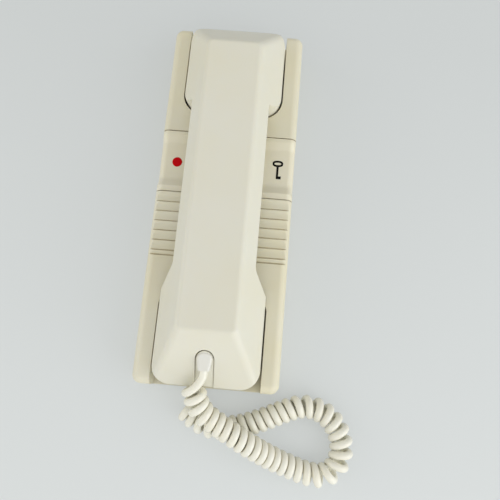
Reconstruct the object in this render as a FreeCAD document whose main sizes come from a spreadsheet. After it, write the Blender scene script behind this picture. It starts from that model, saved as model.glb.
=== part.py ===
import FreeCAD, Part
import math
import os

from FreeCAD import Placement, Rotation, Vector

# Wall interphone lying on its back. Millimetres. Z is up, away from the wall plate's back.
# The origin is the middle of the wall plate's back face. +Y is the ear end, +X the door key side.

SIZES = {
    # casing
    "base_length": 220,
    "base_width": 81,
    "rail_height": 25,
    "casing_foot": 0.6,
    "plan_corner": 5,
    "edge_round": 4.5,
    "casing_wall": 2.2,
    "inner_corner": 3,
    # wells for the two ends of the handset
    "well_floor_height": 9.5,
    "well_side_gap": 0.9,
    "ear_well_start": 51,
    "mouth_well_start": 57.6,
    "rest_rib_height": 2,
    "rest_rib_width": 3,
    "rest_rib_length": 30,
    "rest_rib_inset": 9,
    "rest_gap": 0.3,
    # ribs across the middle of the casing
    "rib_pitch": 5.85,
    "rib_groove_depth": 1.3,
    "rib_groove_width": 0.9,
    "rib_start": 0.4,
    "rib_crest_run": 1.9,
    "rib_drop": 0.85,
    "short_rib": 2.85,
    # push keys
    "key_top": 39.1,
    "key_bottom": 0.9,
    "key_inner_edge": 21,
    "key_side_gap": 0.35,
    "key_end_gap": 0.6,
    "key_top_gap": 0.4,
    "key_lip": 2.2,
    "key_lip_drop": 0.4,
    "key_slope_run": 5,
    "key_slope_drop": 1.8,
    "key_scoop_depth": 3,
    "key_scoop_low": 9.5,
    "key_ridge": 3.4,
    "key_wall": 2,
    "key_side_drop": 11,
    "key_skirt_drop": 8,
    "key_notch_depth": 14,
    "key_pusher_radius": 2,
    "key_pusher_drop": 8.4,
    "key_pusher_back": 28.5,
    "key_pusher_inset": 7,
    # key pivots
    "pivot_back": 3.9,
    "pivot_drop": 6,
    "pin_radius": 1,
    "pin_clearance": 0.05,
    "eye_radius": 2.5,
    "tongue_width": 10,
    "tongue_inset": 3.4,
    "lug_thickness": 2.2,
    "lug_gap": 0.3,
    "lug_half_depth": 2.6,
    # wall plate
    "plate_thickness": 2.5,
    "plate_gap": 0.3,
    "plate_rim_height": 3.5,
    "plate_rim_thickness": 1.6,
    "wall_screw_spacing": 60,
    "wall_screw_hole": 4.5,
    "cable_window_length": 26,
    "cable_window_width": 16,
    "casing_post_radius": 3.6,
    "casing_post_gap": 0.1,
    "casing_screw_place": 92,
    # board and what stands on it
    "board_drop": 14,
    "board_thickness": 1.6,
    "board_half_width": 30,
    "board_top": 45,
    "board_bottom": 52,
    "board_screw_x": 24,
    "board_screw_inset": 6,
    "board_post_radius": 3,
    "terminal_length": 30,
    "terminal_depth": 8,
    "terminal_height": 8.5,
    "terminal_place": 44,
    "terminal_count": 4,
    "terminal_wire_hole": 3.2,
    "buzzer_radius": 11,
    "buzzer_height": 7,
    "buzzer_place": 22,
    "buzzer_sound_hole": 2,
    "capacitor_radius": 3.5,
    "capacitor_height": 9,
    "capacitor_x": 17,
    "capacitor_place": 18,
    "resistor_radius": 1.1,
    "resistor_length": 6.5,
    "resistor_pitch": 4.5,
    "resistor_place": 6,
    "lead_width": 0.8,
    "contact_pad_width": 2.6,
    "contact_pad_height": 1.6,
    # contact springs
    "leaf_thickness": 0.3,
    "leaf_width": 5,
    "leaf_length": 18,
    "leaf_block_length": 5,
    "leaf_block_height": 1.6,
    "leaf_gap": 0.1,
    # hook lever under the ear well
    "hook_pivot_place": 60,
    "hook_pivot_height": 5.3,
    "hook_lever_width": 6,
    "hook_lever_thickness": 2,
    "hook_nub_place": 76,
    "hook_nub_radius": 2.4,
    "hook_tip_place": 42,
    "hook_tip_drop": 2.8,
    "hook_hub_radius": 2.1,
    "hook_slot_gap": 0.8,
    "hook_slot_end": 80.5,
    "hook_gap": 0.2,
    # handset
    "handset_length": 218,
    "handset_width": 58.9,
    "handset_height": 51,
    "parting_rise": 2,
    "handset_corner": 11,
    "face_width": 31.4,
    "ear_bevel": 23.5,
    "mouth_bevel": 28,
    "crease_round": 5,
    "face_edge_round": 3.6,
    "handset_wall": 2.2,
    "grip_edge_rise": 14,
    "grip_ear_end": 55,
    "grip_ear_drop": 5,
    "grip_ear_round": 8,
    "grip_mouth_end": 45,
    "grip_mouth_round": 5,
    "flare_end": 58,
    # lower cover of the handset
    "cover_step": 0.35,
    "cover_wall": 2,
    "cover_grip_depth": 5,
    "cover_grip_inset": 1.2,
    "ear_head_corner": 12,
    "mouth_head_corner": 8,
    "pod_start_gap": 1,
    "deck_clearance": 0.6,
    "grille_width": 1.4,
    "grille_length": 15,
    "grille_pitch": 3.4,
    "grille_count": 5,
    # handset inner parts
    "receiver_radius": 18,
    "receiver_height": 7.5,
    "receiver_place": 82,
    "microphone_radius": 9,
    "microphone_height": 6,
    "microphone_place": 82,
    "gasket_thickness": 1.5,
    "gasket_width": 2.5,
    "handset_post_radius": 3.2,
    "handset_post_ear": 40,
    "handset_post_mouth": 30,
    # boot slot and boot
    "slot_width": 10.2,
    "slot_top": 90,
    "slot_depth": 3.4,
    "tongue_plate": 1.8,
    "tongue_reach": 89.2,
    "boot_root": 90.4,
    "boot_root_rise": 15.8,
    "boot_end": 99.6,
    "boot_end_rise": 12.1,
    "boot_root_width": 9.4,
    "boot_root_depth": 3.6,
    "boot_end_width": 6.4,
    "boot_end_depth": 5.6,
    "boot_shoulder": 3.9,
    "boot_edge_round": 1.5,
    # screws
    "screw_head_radius": 2.9,
    "screw_head_height": 1.5,
    "screw_shank_radius": 1.4,
    "screw_bite": 4,
    "screw_hole_gap": 0.2,
    "post_wall": 1.2,
    "small_head_radius": 2.2,
    "small_head_height": 1.2,
    "small_shank_radius": 1.1,
    # cord
    "wire_diameter": 3.8,
    "curl_diameter": 12.9,
    "curl_pitch": 4.35,
    "gland_x": 8,
    "gland_height": 5.2,
    "gland_hole_radius": 2.1,
    "gland_flange_radius": 4,
    "gland_flange": 1.2,
    "gland_nose": 2,
    "gland_nose_radius": 2.5,
    # cuts run past the faces that they open
    "overrun": 5,
}

doc = FreeCAD.newDocument("wall_interphone")
sheet = doc.addObject("Spreadsheet::Sheet", "sizes")


class Size:
    """A length with its number and its formula in the sheet, so that sums of lengths stay bound to it."""

    def __init__(self, number, formula):
        self.number = float(number)
        self.formula = formula

    def __float__(self):
        return self.number

    def __add__(self, other):
        return combined(self, "+", other, float(self) + float(other))

    def __radd__(self, other):
        return combined(other, "+", self, float(other) + float(self))

    def __sub__(self, other):
        return combined(self, "-", other, float(self) - float(other))

    def __rsub__(self, other):
        return combined(other, "-", self, float(other) - float(self))

    def __mul__(self, other):
        return combined(self, "*", other, float(self) * float(other))

    def __rmul__(self, other):
        return combined(other, "*", self, float(other) * float(self))

    def __truediv__(self, other):
        return combined(self, "/", other, float(self) / float(other))

    def __neg__(self):
        return Size(-self.number, "(-1 * %s)" % self.formula)


def formula_of(value):
    return value.formula if isinstance(value, Size) else repr(value)


def combined(first, sign, second, number):
    return Size(number, "(%s %s %s)" % (formula_of(first), sign, formula_of(second)))


def read_sizes():
    """Each named length becomes a cell of the sheet with that alias, and a Size with that name."""
    named = {}
    for row, (alias, number) in enumerate(SIZES.items(), start=1):
        cell = "A%d" % row
        sheet.set(cell, str(number))
        sheet.setAlias(cell, alias)
        named[alias] = Size(number, "sizes." + alias)
    doc.recompute()
    return named


class Named:
    """The named lengths, read as attributes."""

    def __init__(self, named):
        self.__dict__.update(named)


d = Named(read_sizes())

# heights that hang from the rail's top or stand over it
d.key_side_foot = d.rail_height - d.key_side_drop
d.key_skirt_foot = d.rail_height - d.key_skirt_drop
d.key_notch_floor = d.rail_height - d.key_notch_depth
d.key_pusher_foot = d.rail_height - d.key_pusher_drop
d.pivot_height = d.rail_height - d.pivot_drop
d.board_height = d.rail_height - d.board_drop
d.hook_tip_height = d.board_height - d.hook_tip_drop
d.parting_height = d.rail_height + d.parting_rise
d.grip_edge_height = d.rail_height + d.grip_edge_rise
d.boot_root_height = d.rail_height + d.boot_root_rise
d.boot_end_height = d.rail_height + d.boot_end_rise
# the pods stand just over the rest ribs
d.pod_height = d.parting_height - d.well_floor_height - d.rest_rib_height - d.rest_gap

# places that several pieces share
BASE_END = d.base_length / 2
BASE_SIDE = d.base_width / 2
DECK_UNDER = d.rail_height - d.casing_wall
FLOOR_UNDER = d.well_floor_height - d.casing_wall
HANDSET_END = d.handset_length / 2
HANDSET_SIDE = d.handset_width / 2
WELL_SIDE = HANDSET_SIDE + d.well_side_gap
POD_FLOOR = d.parting_height - d.pod_height
POD_SIDE = HANDSET_SIDE - d.cover_step
BOARD_FACE = d.board_height + d.board_thickness
PIVOT_Y = d.key_top + d.pivot_back
KEY_MIDDLE = d.key_inner_edge + d.tongue_inset + d.tongue_width / 2
EAR_HEAD_START = d.ear_well_start + d.pod_start_gap
MOUTH_HEAD_START = d.mouth_well_start + d.pod_start_gap
SHELL_RISE = d.handset_height - d.parting_height
SIDE_LEAN = (HANDSET_SIDE - d.face_width / 2) / SHELL_RISE
GRIP_SIDE = d.face_width / 2 + SIDE_LEAN * (d.handset_height - d.grip_edge_height)
COVER_GRIP_SIDE = GRIP_SIDE - d.cover_grip_inset
BEVEL_SLOPE = SHELL_RISE / d.mouth_bevel
FACE_MOUTH_END = HANDSET_END - d.mouth_bevel
FACE_EAR_END = HANDSET_END - d.ear_bevel
SLOT_ROUND_SHARE = 0.92
RIB_COUNT = 6
HEAD_RECESS = d.screw_head_radius + d.screw_hole_gap

KEY_PUSH_X = d.key_inner_edge + d.key_pusher_inset
KEY_PUSH_Y = PIVOT_Y - d.key_pusher_back


def bind(target, path, value):
    """Sets a property of an object to a length and keeps it bound to the sheet."""
    if isinstance(value, Size):
        target.setExpression(path, value.formula)
    elif hasattr(target, path):
        setattr(target, path, value)
    else:
        target.setExpression(path, repr(value))


def new_body(name):
    body = doc.addObject("PartDesign::Body", name)
    body.Label = name
    return body


def new_sketch(body, name, role, shift=None):
    """An empty sketch on one of the body's own origin planes, moved along its normal by shift."""
    drawn = body.newObject("Sketcher::SketchObject", name)
    plane = [f for f in body.Origin.OriginFeatures if f.Role == role][0]
    drawn.AttachmentSupport = [(plane, "")]
    drawn.MapMode = "FlatFace"
    if shift is not None:
        bind(drawn, "AttachmentOffset.Base.z", shift)
        drawn.AttachmentOffset = Placement(Vector(0, 0, float(shift)), Rotation())
    return drawn


def fix_point(drawn, geometry, position, x, y):
    """Two dimensions from the sketch's origin hold a point."""
    import Sketcher
    for kind, value in (("DistanceX", x), ("DistanceY", y)):
        index = drawn.addConstraint(
            Sketcher.Constraint(kind, -1, 1, geometry, position, float(value)))
        if isinstance(value, Size):
            drawn.setExpression("Constraints[%d]" % index, value.formula)


def rounded_corner(before, corner, after, radius):
    """Where an arc of the radius leaves the one line and meets the other, and its centre."""
    along_in = (before - corner).normalize()
    along_out = (after - corner).normalize()
    half = along_in.getAngle(along_out) / 2
    reach = radius / math.tan(half)
    middle = (along_in + along_out).normalize()
    return corner + along_in * reach, corner + along_out * reach, corner + middle * (radius / math.sin(half))


def outline(drawn, corners):
    """A closed outline through the corners, each (x, y) or (x, y, radius), dimensioned from the origin."""
    import Sketcher
    places = [Vector(float(c[0]), float(c[1]), 0) for c in corners]
    count = len(corners)
    starts = []
    ends = []
    arcs = []
    for i, corner in enumerate(corners):
        if len(corner) == 3:
            leave, meet, centre = rounded_corner(
                places[i - 1], places[i], places[(i + 1) % count], float(corner[2]))
            starts.append(meet)
            ends.append(leave)
            arcs.append(centre)
        else:
            starts.append(places[i])
            ends.append(places[i])
            arcs.append(None)
    lines = [drawn.addGeometry(Part.LineSegment(starts[i], ends[(i + 1) % count]), False)
             for i in range(count)]
    for i, corner in enumerate(corners):
        before = lines[i - 1]
        after = lines[i]
        if arcs[i] is None:
            drawn.addConstraint(Sketcher.Constraint("Coincident", before, 2, after, 1))
            fix_point(drawn, after, 1, corner[0], corner[1])
            continue
        centre = arcs[i]
        radius = float(corner[2])
        first = math.atan2(ends[i].y - centre.y, ends[i].x - centre.x)
        last = math.atan2(starts[i].y - centre.y, starts[i].x - centre.x)
        turn = (last - first) % (2 * math.pi)
        circle = Part.Circle(centre, Vector(0, 0, 1), radius)
        forward = turn < math.pi
        span = (first, last) if forward else (last, first)
        arc = drawn.addGeometry(Part.ArcOfCircle(circle, span[0], span[1]), False)
        begin, finish = (1, 2) if forward else (2, 1)
        drawn.addConstraint(Sketcher.Constraint("Tangent", before, 2, arc, begin))
        drawn.addConstraint(Sketcher.Constraint("Tangent", arc, finish, after, 1))
        index = drawn.addConstraint(Sketcher.Constraint("Radius", arc, radius))
        if isinstance(corner[2], Size):
            drawn.setExpression("Constraints[%d]" % index, corner[2].formula)
        point = drawn.addGeometry(Part.Point(places[i]), True)
        fix_point(drawn, point, 1, corner[0], corner[1])
        drawn.addConstraint(Sketcher.Constraint("PointOnObject", point, 1, before))
        drawn.addConstraint(Sketcher.Constraint("PointOnObject", point, 1, after))


def rectangle(drawn, left, right, low, high, radius=None):
    corners = [(left, low), (right, low), (right, high), (left, high)]
    if radius is not None:
        corners = [corner + (radius,) for corner in corners]
    outline(drawn, corners)


def ring(drawn, x, y, radius):
    """A circle in a sketch, with its middle and radius dimensioned."""
    import Sketcher
    place = Vector(float(x), float(y), 0)
    drawn_ring = drawn.addGeometry(Part.Circle(place, Vector(0, 0, 1), float(radius)), False)
    fix_point(drawn, drawn_ring, 3, x, y)
    index = drawn.addConstraint(Sketcher.Constraint("Radius", drawn_ring, float(radius)))
    if isinstance(radius, Size):
        drawn.setExpression("Constraints[%d]" % index, radius.formula)


def pad(body, drawn, name, length, both_ways=False, backwards=False):
    feature = body.newObject("PartDesign::Pad", name)
    feature.Profile = drawn
    feature.Type = "Length"
    bind(feature, "Length", length)
    feature.Midplane = both_ways
    feature.Reversed = backwards
    drawn.Visibility = False
    doc.recompute()
    return feature


def pocket(body, drawn, name, length, both_ways=False, backwards=False):
    """Cuts the sketch's outline out of the body and makes sure that it took something away."""
    before = body.Shape.Volume
    feature = body.newObject("PartDesign::Pocket", name)
    feature.Profile = drawn
    feature.Type = "Length"
    bind(feature, "Length", length)
    feature.Midplane = both_ways
    feature.Reversed = backwards
    drawn.Visibility = False
    doc.recompute()
    if not body.Shape.Volume < before:
        raise ValueError("%s cuts nothing from %s" % (name, body.Label))
    return feature


def mirrored(body, features, name, role):
    """Repeats features on the other side of one of the body's origin planes."""
    feature = body.newObject("PartDesign::Mirrored", name)
    plane = [f for f in body.Origin.OriginFeatures if f.Role == role][0]
    feature.Originals = features
    feature.MirrorPlane = (plane, [""])
    body.Tip = feature
    doc.recompute()
    return feature


def repeated(body, features, name, role, step, count):
    """Repeats features in a row along one of the body's axes."""
    feature = body.newObject("PartDesign::LinearPattern", name)
    axis = [f for f in body.Origin.OriginFeatures if f.Role == role][0]
    feature.Originals = features
    feature.Direction = (axis, [""])
    bind(feature, "Length", step * (count - 1))
    feature.Occurrences = count
    feature.Reversed = True
    body.Tip = feature
    doc.recompute()
    return feature


def rounded(body, name, radius, wanted):
    """Rounds the edges of the body for which wanted(edge) holds."""
    base = body.Tip
    names = ["Edge%d" % (i + 1) for i, edge in enumerate(base.Shape.Edges) if wanted(edge)]
    if not names:
        raise ValueError("%s finds no edge on %s" % (name, body.Label))
    feature = body.newObject("PartDesign::Fillet", name)
    feature.Base = (base, names)
    bind(feature, "Radius", radius)
    doc.recompute()
    return feature


def revolved(body, drawn, name, role):
    feature = body.newObject("PartDesign::Revolution", name)
    feature.Profile = drawn
    axis = [f for f in body.Origin.OriginFeatures if f.Role == role][0]
    feature.ReferenceAxis = (axis, [""])
    feature.Angle = 360
    drawn.Visibility = False
    doc.recompute()
    return feature


def middle_of(edge):
    return edge.CenterOfMass


def near(value, size):
    return abs(value - float(size)) < 0.01 * float(d.casing_wall)


def rounded_plan(body, name, height, side, low_end, high_end, low_corner, high_corner):
    """A sketch across the part: straight sides, and corners of one radius at each end."""
    drawn = new_sketch(body, name, "XY_Plane", height)
    outline(drawn, [(-side, low_end, low_corner), (side, low_end, low_corner),
                    (side, high_end, high_corner), (-side, high_end, high_corner)])
    return drawn


def make_front_casing():
    """The moulded front of the wall part: rails, two wells for the handset, ribs and key openings."""
    body = new_body("front_casing")
    block = rounded_plan(body, "casing_plan", d.casing_foot, BASE_SIDE, -BASE_END, BASE_END,
                         d.plan_corner, d.plan_corner)
    pad(body, block, "casing_block", d.rail_height - d.casing_foot)

    def top_edge(edge):
        return near(edge.BoundBox.ZMin, d.rail_height)

    rounded(body, "casing_edge", d.edge_round, top_edge)

    inner_side = BASE_SIDE - d.casing_wall
    inner_end = BASE_END - d.casing_wall
    middle = new_sketch(body, "middle_hollow_plan", "XY_Plane", d.casing_foot)
    rectangle(middle, -inner_side, inner_side, -d.mouth_well_start + d.casing_wall,
              d.ear_well_start - d.casing_wall, d.inner_corner)
    pocket(body, middle, "middle_hollow", DECK_UNDER - d.casing_foot, backwards=True)
    # the rails are hollow up to the deck, and the wells have a floor
    rail_inner = WELL_SIDE + d.casing_wall
    for end, low, high in (("ear", d.ear_well_start - d.overrun, inner_end),
                           ("mouth", -inner_end, -d.mouth_well_start + d.overrun)):
        for side, left, right in (("right", rail_inner, inner_side), ("left", -inner_side, -rail_inner)):
            drawn = new_sketch(body, "%s_%s_rail_plan" % (end, side), "XY_Plane", d.casing_foot)
            rectangle(drawn, left, right, low, high)
            pocket(body, drawn, "%s_%s_rail_hollow" % (end, side),
                   DECK_UNDER - d.casing_wall - d.casing_foot, backwards=True)
        drawn = new_sketch(body, "%s_floor_plan" % end, "XY_Plane", d.casing_foot)
        rectangle(drawn, -rail_inner, rail_inner, low, high)
        pocket(body, drawn, "%s_floor_hollow" % end, FLOOR_UNDER - d.casing_foot, backwards=True)

    well_depth = d.rail_height - d.well_floor_height
    ear = new_sketch(body, "ear_well_plan", "XY_Plane", d.rail_height)
    ear_corner = d.ear_head_corner + d.pod_start_gap
    outline(ear, [(-WELL_SIDE, d.ear_well_start, ear_corner), (WELL_SIDE, d.ear_well_start, ear_corner),
                  (WELL_SIDE, BASE_END + d.overrun), (-WELL_SIDE, BASE_END + d.overrun)])
    pocket(body, ear, "ear_well", well_depth)
    mouth = new_sketch(body, "mouth_well_plan", "XY_Plane", d.rail_height)
    mouth_corner = d.mouth_head_corner + d.pod_start_gap
    outline(mouth, [(-WELL_SIDE, -BASE_END - d.overrun), (WELL_SIDE, -BASE_END - d.overrun),
                    (WELL_SIDE, -d.mouth_well_start, mouth_corner),
                    (-WELL_SIDE, -d.mouth_well_start, mouth_corner)])
    pocket(body, mouth, "mouth_well", well_depth)

    # one grip rib: it falls away from its crest to the groove below it, and is repeated down the deck
    rib = new_sketch(body, "rib_profile", "YZ_Plane")
    crest = -d.rib_start
    foot = d.rail_height - d.rib_drop
    clear = d.rail_height + d.overrun
    outline(rib, [(crest, clear), (crest, d.rail_height), (crest - d.rib_crest_run, foot, d.rib_pitch),
                  (crest - d.rib_pitch + d.rib_groove_width, foot),
                  (crest - d.rib_pitch + d.rib_groove_width / 2, d.rail_height - d.rib_groove_depth),
                  (crest - d.rib_pitch, d.rail_height), (crest - d.rib_pitch, clear)])
    cut = pocket(body, rib, "rib", d.base_width + d.overrun, both_ways=True)
    repeated(body, [cut], "ribs", "Y_Axis", d.rib_pitch, RIB_COUNT)
    last = new_sketch(body, "short_rib_profile", "YZ_Plane")
    crest = -(d.rib_start + d.rib_pitch * RIB_COUNT)
    outline(last, [(crest, clear), (crest, d.rail_height), (crest - d.short_rib + d.rib_groove_width, foot),
                   (crest - d.short_rib + d.rib_groove_width / 2, d.rail_height - d.rib_groove_depth),
                   (crest - d.short_rib, d.rail_height), (crest - d.short_rib, clear)])
    pocket(body, last, "short_rib", d.base_width + d.overrun, both_ways=True)

    # openings for the two keys, open at the side of the casing
    opening = new_sketch(body, "key_opening_plan", "XY_Plane", d.rail_height)
    rectangle(opening, d.key_inner_edge - d.key_side_gap, BASE_SIDE + d.overrun,
              d.key_bottom - d.key_end_gap, d.key_top + d.key_top_gap)
    cut = pocket(body, opening, "key_opening", d.rail_height - d.key_notch_floor)
    mirrored(body, [cut], "key_openings", "YZ_Plane")

    # lugs under the deck hold the key pins
    lug_low = d.pivot_height - d.lug_half_depth
    tongue_left = d.key_inner_edge + d.tongue_inset
    for name, left in (("inner", tongue_left - d.lug_gap - d.lug_thickness),
                       ("outer", tongue_left + d.tongue_width + d.lug_gap)):
        drawn = new_sketch(body, "%s_lug_plan" % name, "XY_Plane", lug_low)
        rectangle(drawn, left, left + d.lug_thickness, PIVOT_Y - d.lug_half_depth, PIVOT_Y + d.lug_half_depth)
        lug = pad(body, drawn, "%s_lug" % name, DECK_UNDER - lug_low + d.casing_wall / 2)
        mirrored(body, [lug], "%s_lugs" % name, "YZ_Plane")
    bore = new_sketch(body, "pin_bore_profile", "YZ_Plane")
    ring(bore, PIVOT_Y, d.pivot_height, d.pin_radius)
    pocket(body, bore, "pin_bores", d.base_width - d.casing_wall * 4, both_ways=True)

    # low ribs on the well floors carry the handset
    for end, place in (("ear", BASE_END - d.rest_rib_inset - d.rest_rib_width),
                       ("mouth", -BASE_END + d.rest_rib_inset)):
        drawn = new_sketch(body, "%s_rest_plan" % end, "XY_Plane", d.well_floor_height)
        rectangle(drawn, -d.rest_rib_length / 2, d.rest_rib_length / 2, place, place + d.rest_rib_width)
        pad(body, drawn, "%s_rest_rib" % end, d.rest_rib_height)

    slot = new_sketch(body, "hook_slot_plan", "XY_Plane", FLOOR_UNDER - d.overrun)
    slot_side = d.hook_lever_width / 2 + d.hook_slot_gap
    rectangle(slot, -slot_side, slot_side, d.ear_well_start - d.casing_wall - d.overrun, d.hook_slot_end)
    pocket(body, slot, "hook_slot", d.casing_wall + d.overrun, backwards=True)

    holes = new_sketch(body, "casing_screw_plan", "XY_Plane", FLOOR_UNDER)
    for place in (-d.casing_screw_place, d.casing_screw_place):
        ring(holes, 0, place, d.screw_shank_radius + d.screw_hole_gap)
    pocket(body, holes, "casing_screw_holes", d.casing_wall, backwards=True)

    inlet = new_sketch(body, "gland_hole_profile", "XZ_Plane", BASE_END - d.casing_wall)
    ring(inlet, -d.gland_x, d.gland_height, d.gland_hole_radius)
    pocket(body, inlet, "gland_hole", d.casing_wall + d.overrun, backwards=True)
    return body


def board_post_places():
    """The board stands on four posts."""
    low = -d.board_bottom + d.board_screw_inset
    high = d.board_top - d.board_screw_inset
    return [(-d.board_screw_x, low), (d.board_screw_x, low), (d.board_screw_x, high), (-d.board_screw_x, high)]


def board_screw_places():
    """Two posts that face each other across the board take screws."""
    return board_post_places()[::2]


def make_back_plate():
    """The plate that is screwed to the wall, with its rim, posts and the window for the house wires."""
    body = new_body("back_plate")
    side = BASE_SIDE - d.casing_wall - d.plate_gap
    end = BASE_END - d.casing_wall - d.plate_gap
    plan = rounded_plan(body, "plate_plan", 0, side, -end, end, d.inner_corner, d.inner_corner)
    pad(body, plan, "plate", d.plate_thickness)
    rim = new_sketch(body, "rim_plan", "XY_Plane", d.plate_thickness)
    rectangle(rim, -side, side, -d.mouth_well_start, d.ear_well_start, d.inner_corner)
    pad(body, rim, "rim_block", d.plate_rim_height)
    inside = new_sketch(body, "rim_inside_plan", "XY_Plane", d.plate_thickness)
    rim_side = side - d.plate_rim_thickness
    rectangle(inside, -rim_side, rim_side, -d.mouth_well_start - d.overrun, d.ear_well_start + d.overrun)
    pocket(body, inside, "rim_inside", d.plate_rim_height, backwards=True)

    posts = new_sketch(body, "board_post_plan", "XY_Plane", d.plate_thickness)
    for x, y in board_post_places():
        ring(posts, x, y, d.board_post_radius)
    pad(body, posts, "board_posts", d.board_height - d.plate_thickness)
    casing_posts = new_sketch(body, "casing_post_plan", "XY_Plane", d.plate_thickness)
    for place in (-d.casing_screw_place, d.casing_screw_place):
        ring(casing_posts, 0, place, d.casing_post_radius)
    pad(body, casing_posts, "casing_posts", FLOOR_UNDER - d.plate_thickness - d.casing_post_gap)

    # forks for the hook lever's pin
    lug_left = d.hook_lever_width / 2 + d.lug_gap
    fork = new_sketch(body, "hook_fork_plan", "XY_Plane", d.plate_thickness)
    for left in (lug_left, -lug_left - d.lug_thickness):
        rectangle(fork, left, left + d.lug_thickness,
                  d.hook_pivot_place - d.lug_half_depth, d.hook_pivot_place + d.lug_half_depth)
    pad(body, fork, "hook_fork", FLOOR_UNDER - d.plate_thickness - d.lug_gap)
    bore = new_sketch(body, "hook_bore_profile", "YZ_Plane")
    ring(bore, d.hook_pivot_place, d.hook_pivot_height, d.pin_radius)
    pocket(body, bore, "hook_bores", d.base_width / 2, both_ways=True)

    pilots = new_sketch(body, "pilot_plan", "XY_Plane", d.plate_thickness)
    for x, y in board_screw_places():
        ring(pilots, x, y, d.small_shank_radius)
    for place in (-d.casing_screw_place, d.casing_screw_place):
        ring(pilots, 0, place, d.screw_shank_radius)
    pocket(body, pilots, "pilot_holes", d.board_height + d.overrun, backwards=True)

    openings = new_sketch(body, "wall_hole_plan", "XY_Plane", 0)
    for place in (-d.wall_screw_spacing / 2, d.wall_screw_spacing / 2):
        ring(openings, 0, place, d.wall_screw_hole / 2)
    rectangle(openings, -d.cable_window_length / 2, d.cable_window_length / 2,
              -d.cable_window_width / 2, d.cable_window_width / 2)
    pocket(body, openings, "wall_holes", d.plate_thickness + d.overrun, backwards=True)
    return body


def make_key(name, side):
    """A scooped push key that wraps over the casing's edge. side is 1 on the right and -1 on the left."""
    body = new_body(name)
    # the lines from the lip down into the scoop and up to the ridge, seen from the side
    top = d.key_top
    low = d.key_bottom
    profile = new_sketch(body, "key_profile", "YZ_Plane", d.key_inner_edge * side)
    crest = d.rail_height - d.key_lip_drop
    scoop = crest - d.key_scoop_depth
    slope_foot = crest - d.key_slope_drop
    outline(profile, [(low, d.key_side_foot), (top, d.key_side_foot), (top, crest),
                      (top - d.key_lip, crest, d.key_lip / 2),
                      (top - d.key_lip - d.key_slope_run, slope_foot, d.key_slope_run),
                      (d.key_scoop_low, scoop, d.key_slope_run),
                      (low + d.key_ridge, crest, d.key_ridge / 4), (low, crest - d.key_lip_drop)])
    width = BASE_SIDE - d.key_inner_edge
    pad(body, profile, "key_block", width, backwards=side < 0)

    def outer_top_edge(edge):
        box = edge.BoundBox
        outer = abs(middle_of(edge).x) > float(BASE_SIDE) - 0.01 * float(d.casing_wall)
        return outer and box.YLength > float(d.key_wall) / 4 and box.ZMax > float(d.key_skirt_foot)

    rounded(body, "key_edge", d.edge_round - d.key_lip_drop, outer_top_edge)
    inner = new_sketch(body, "key_hollow_profile", "YZ_Plane", (d.key_inner_edge - d.overrun) * side)
    outline(inner, [(low + d.key_wall, d.key_side_foot - d.overrun),
                    (top - d.key_wall, d.key_side_foot - d.overrun),
                    (top - d.key_wall, slope_foot - d.key_wall),
                    (d.key_scoop_low, scoop - d.key_wall), (low + d.key_wall, scoop - d.key_wall)])
    pocket(body, inner, "key_hollow", width + d.overrun - d.edge_round, backwards=side > 0)
    # the skirt stands off the board on the inner side
    skirt = new_sketch(body, "key_skirt_plan", "XY_Plane", d.key_side_foot - d.overrun)
    inner_x = (d.key_inner_edge - d.overrun) * side
    outer_x = (BASE_SIDE - d.edge_round) * side
    left, right = (inner_x, outer_x) if side > 0 else (outer_x, inner_x)
    rectangle(skirt, left, right, low - d.overrun, top + d.overrun)
    pocket(body, skirt, "key_skirt_trim", d.key_skirt_foot - d.key_side_foot + d.overrun, backwards=True)

    tongue = new_sketch(body, "key_tongue_profile", "YZ_Plane", (d.key_inner_edge + d.tongue_inset) * side)
    # the eye sits on the end of a tongue that reaches under the deck
    outline(tongue, [(top - d.key_wall, d.pivot_height - d.eye_radius),
                     (PIVOT_Y + d.eye_radius, d.pivot_height - d.eye_radius, d.eye_radius * 0.9),
                     (PIVOT_Y + d.eye_radius, d.pivot_height + d.eye_radius, d.eye_radius * 0.9),
                     (top - d.key_wall, d.pivot_height + d.eye_radius)])
    pad(body, tongue, "key_tongue", d.tongue_width, backwards=side < 0)
    eye = new_sketch(body, "key_eye_profile", "YZ_Plane")
    ring(eye, PIVOT_Y, d.pivot_height, d.pin_radius + d.pin_clearance)
    pocket(body, eye, "key_eye", d.base_width, both_ways=True)
    pusher = new_sketch(body, "key_pusher_plan", "XY_Plane", d.key_pusher_foot)
    ring(pusher, KEY_PUSH_X * side, KEY_PUSH_Y, d.key_pusher_radius)
    pad(body, pusher, "key_pusher", scoop - d.key_pusher_foot - d.key_wall / 2)
    return body


def hollow_outline(body, name, height, corner):
    """The outline of the shell's inside at a height: its wall stands square to each bevel."""
    up = height - d.parting_height
    leans = (SIDE_LEAN, d.mouth_bevel / SHELL_RISE, d.ear_bevel / SHELL_RISE)
    across, mouthward, earward = [
        lean * up + d.handset_wall * math.sqrt(1 + float(lean) ** 2) for lean in leans]
    return rounded_plan(body, name, height, HANDSET_SIDE - across, -HANDSET_END + mouthward,
                        HANDSET_END - earward, corner, corner)


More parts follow.
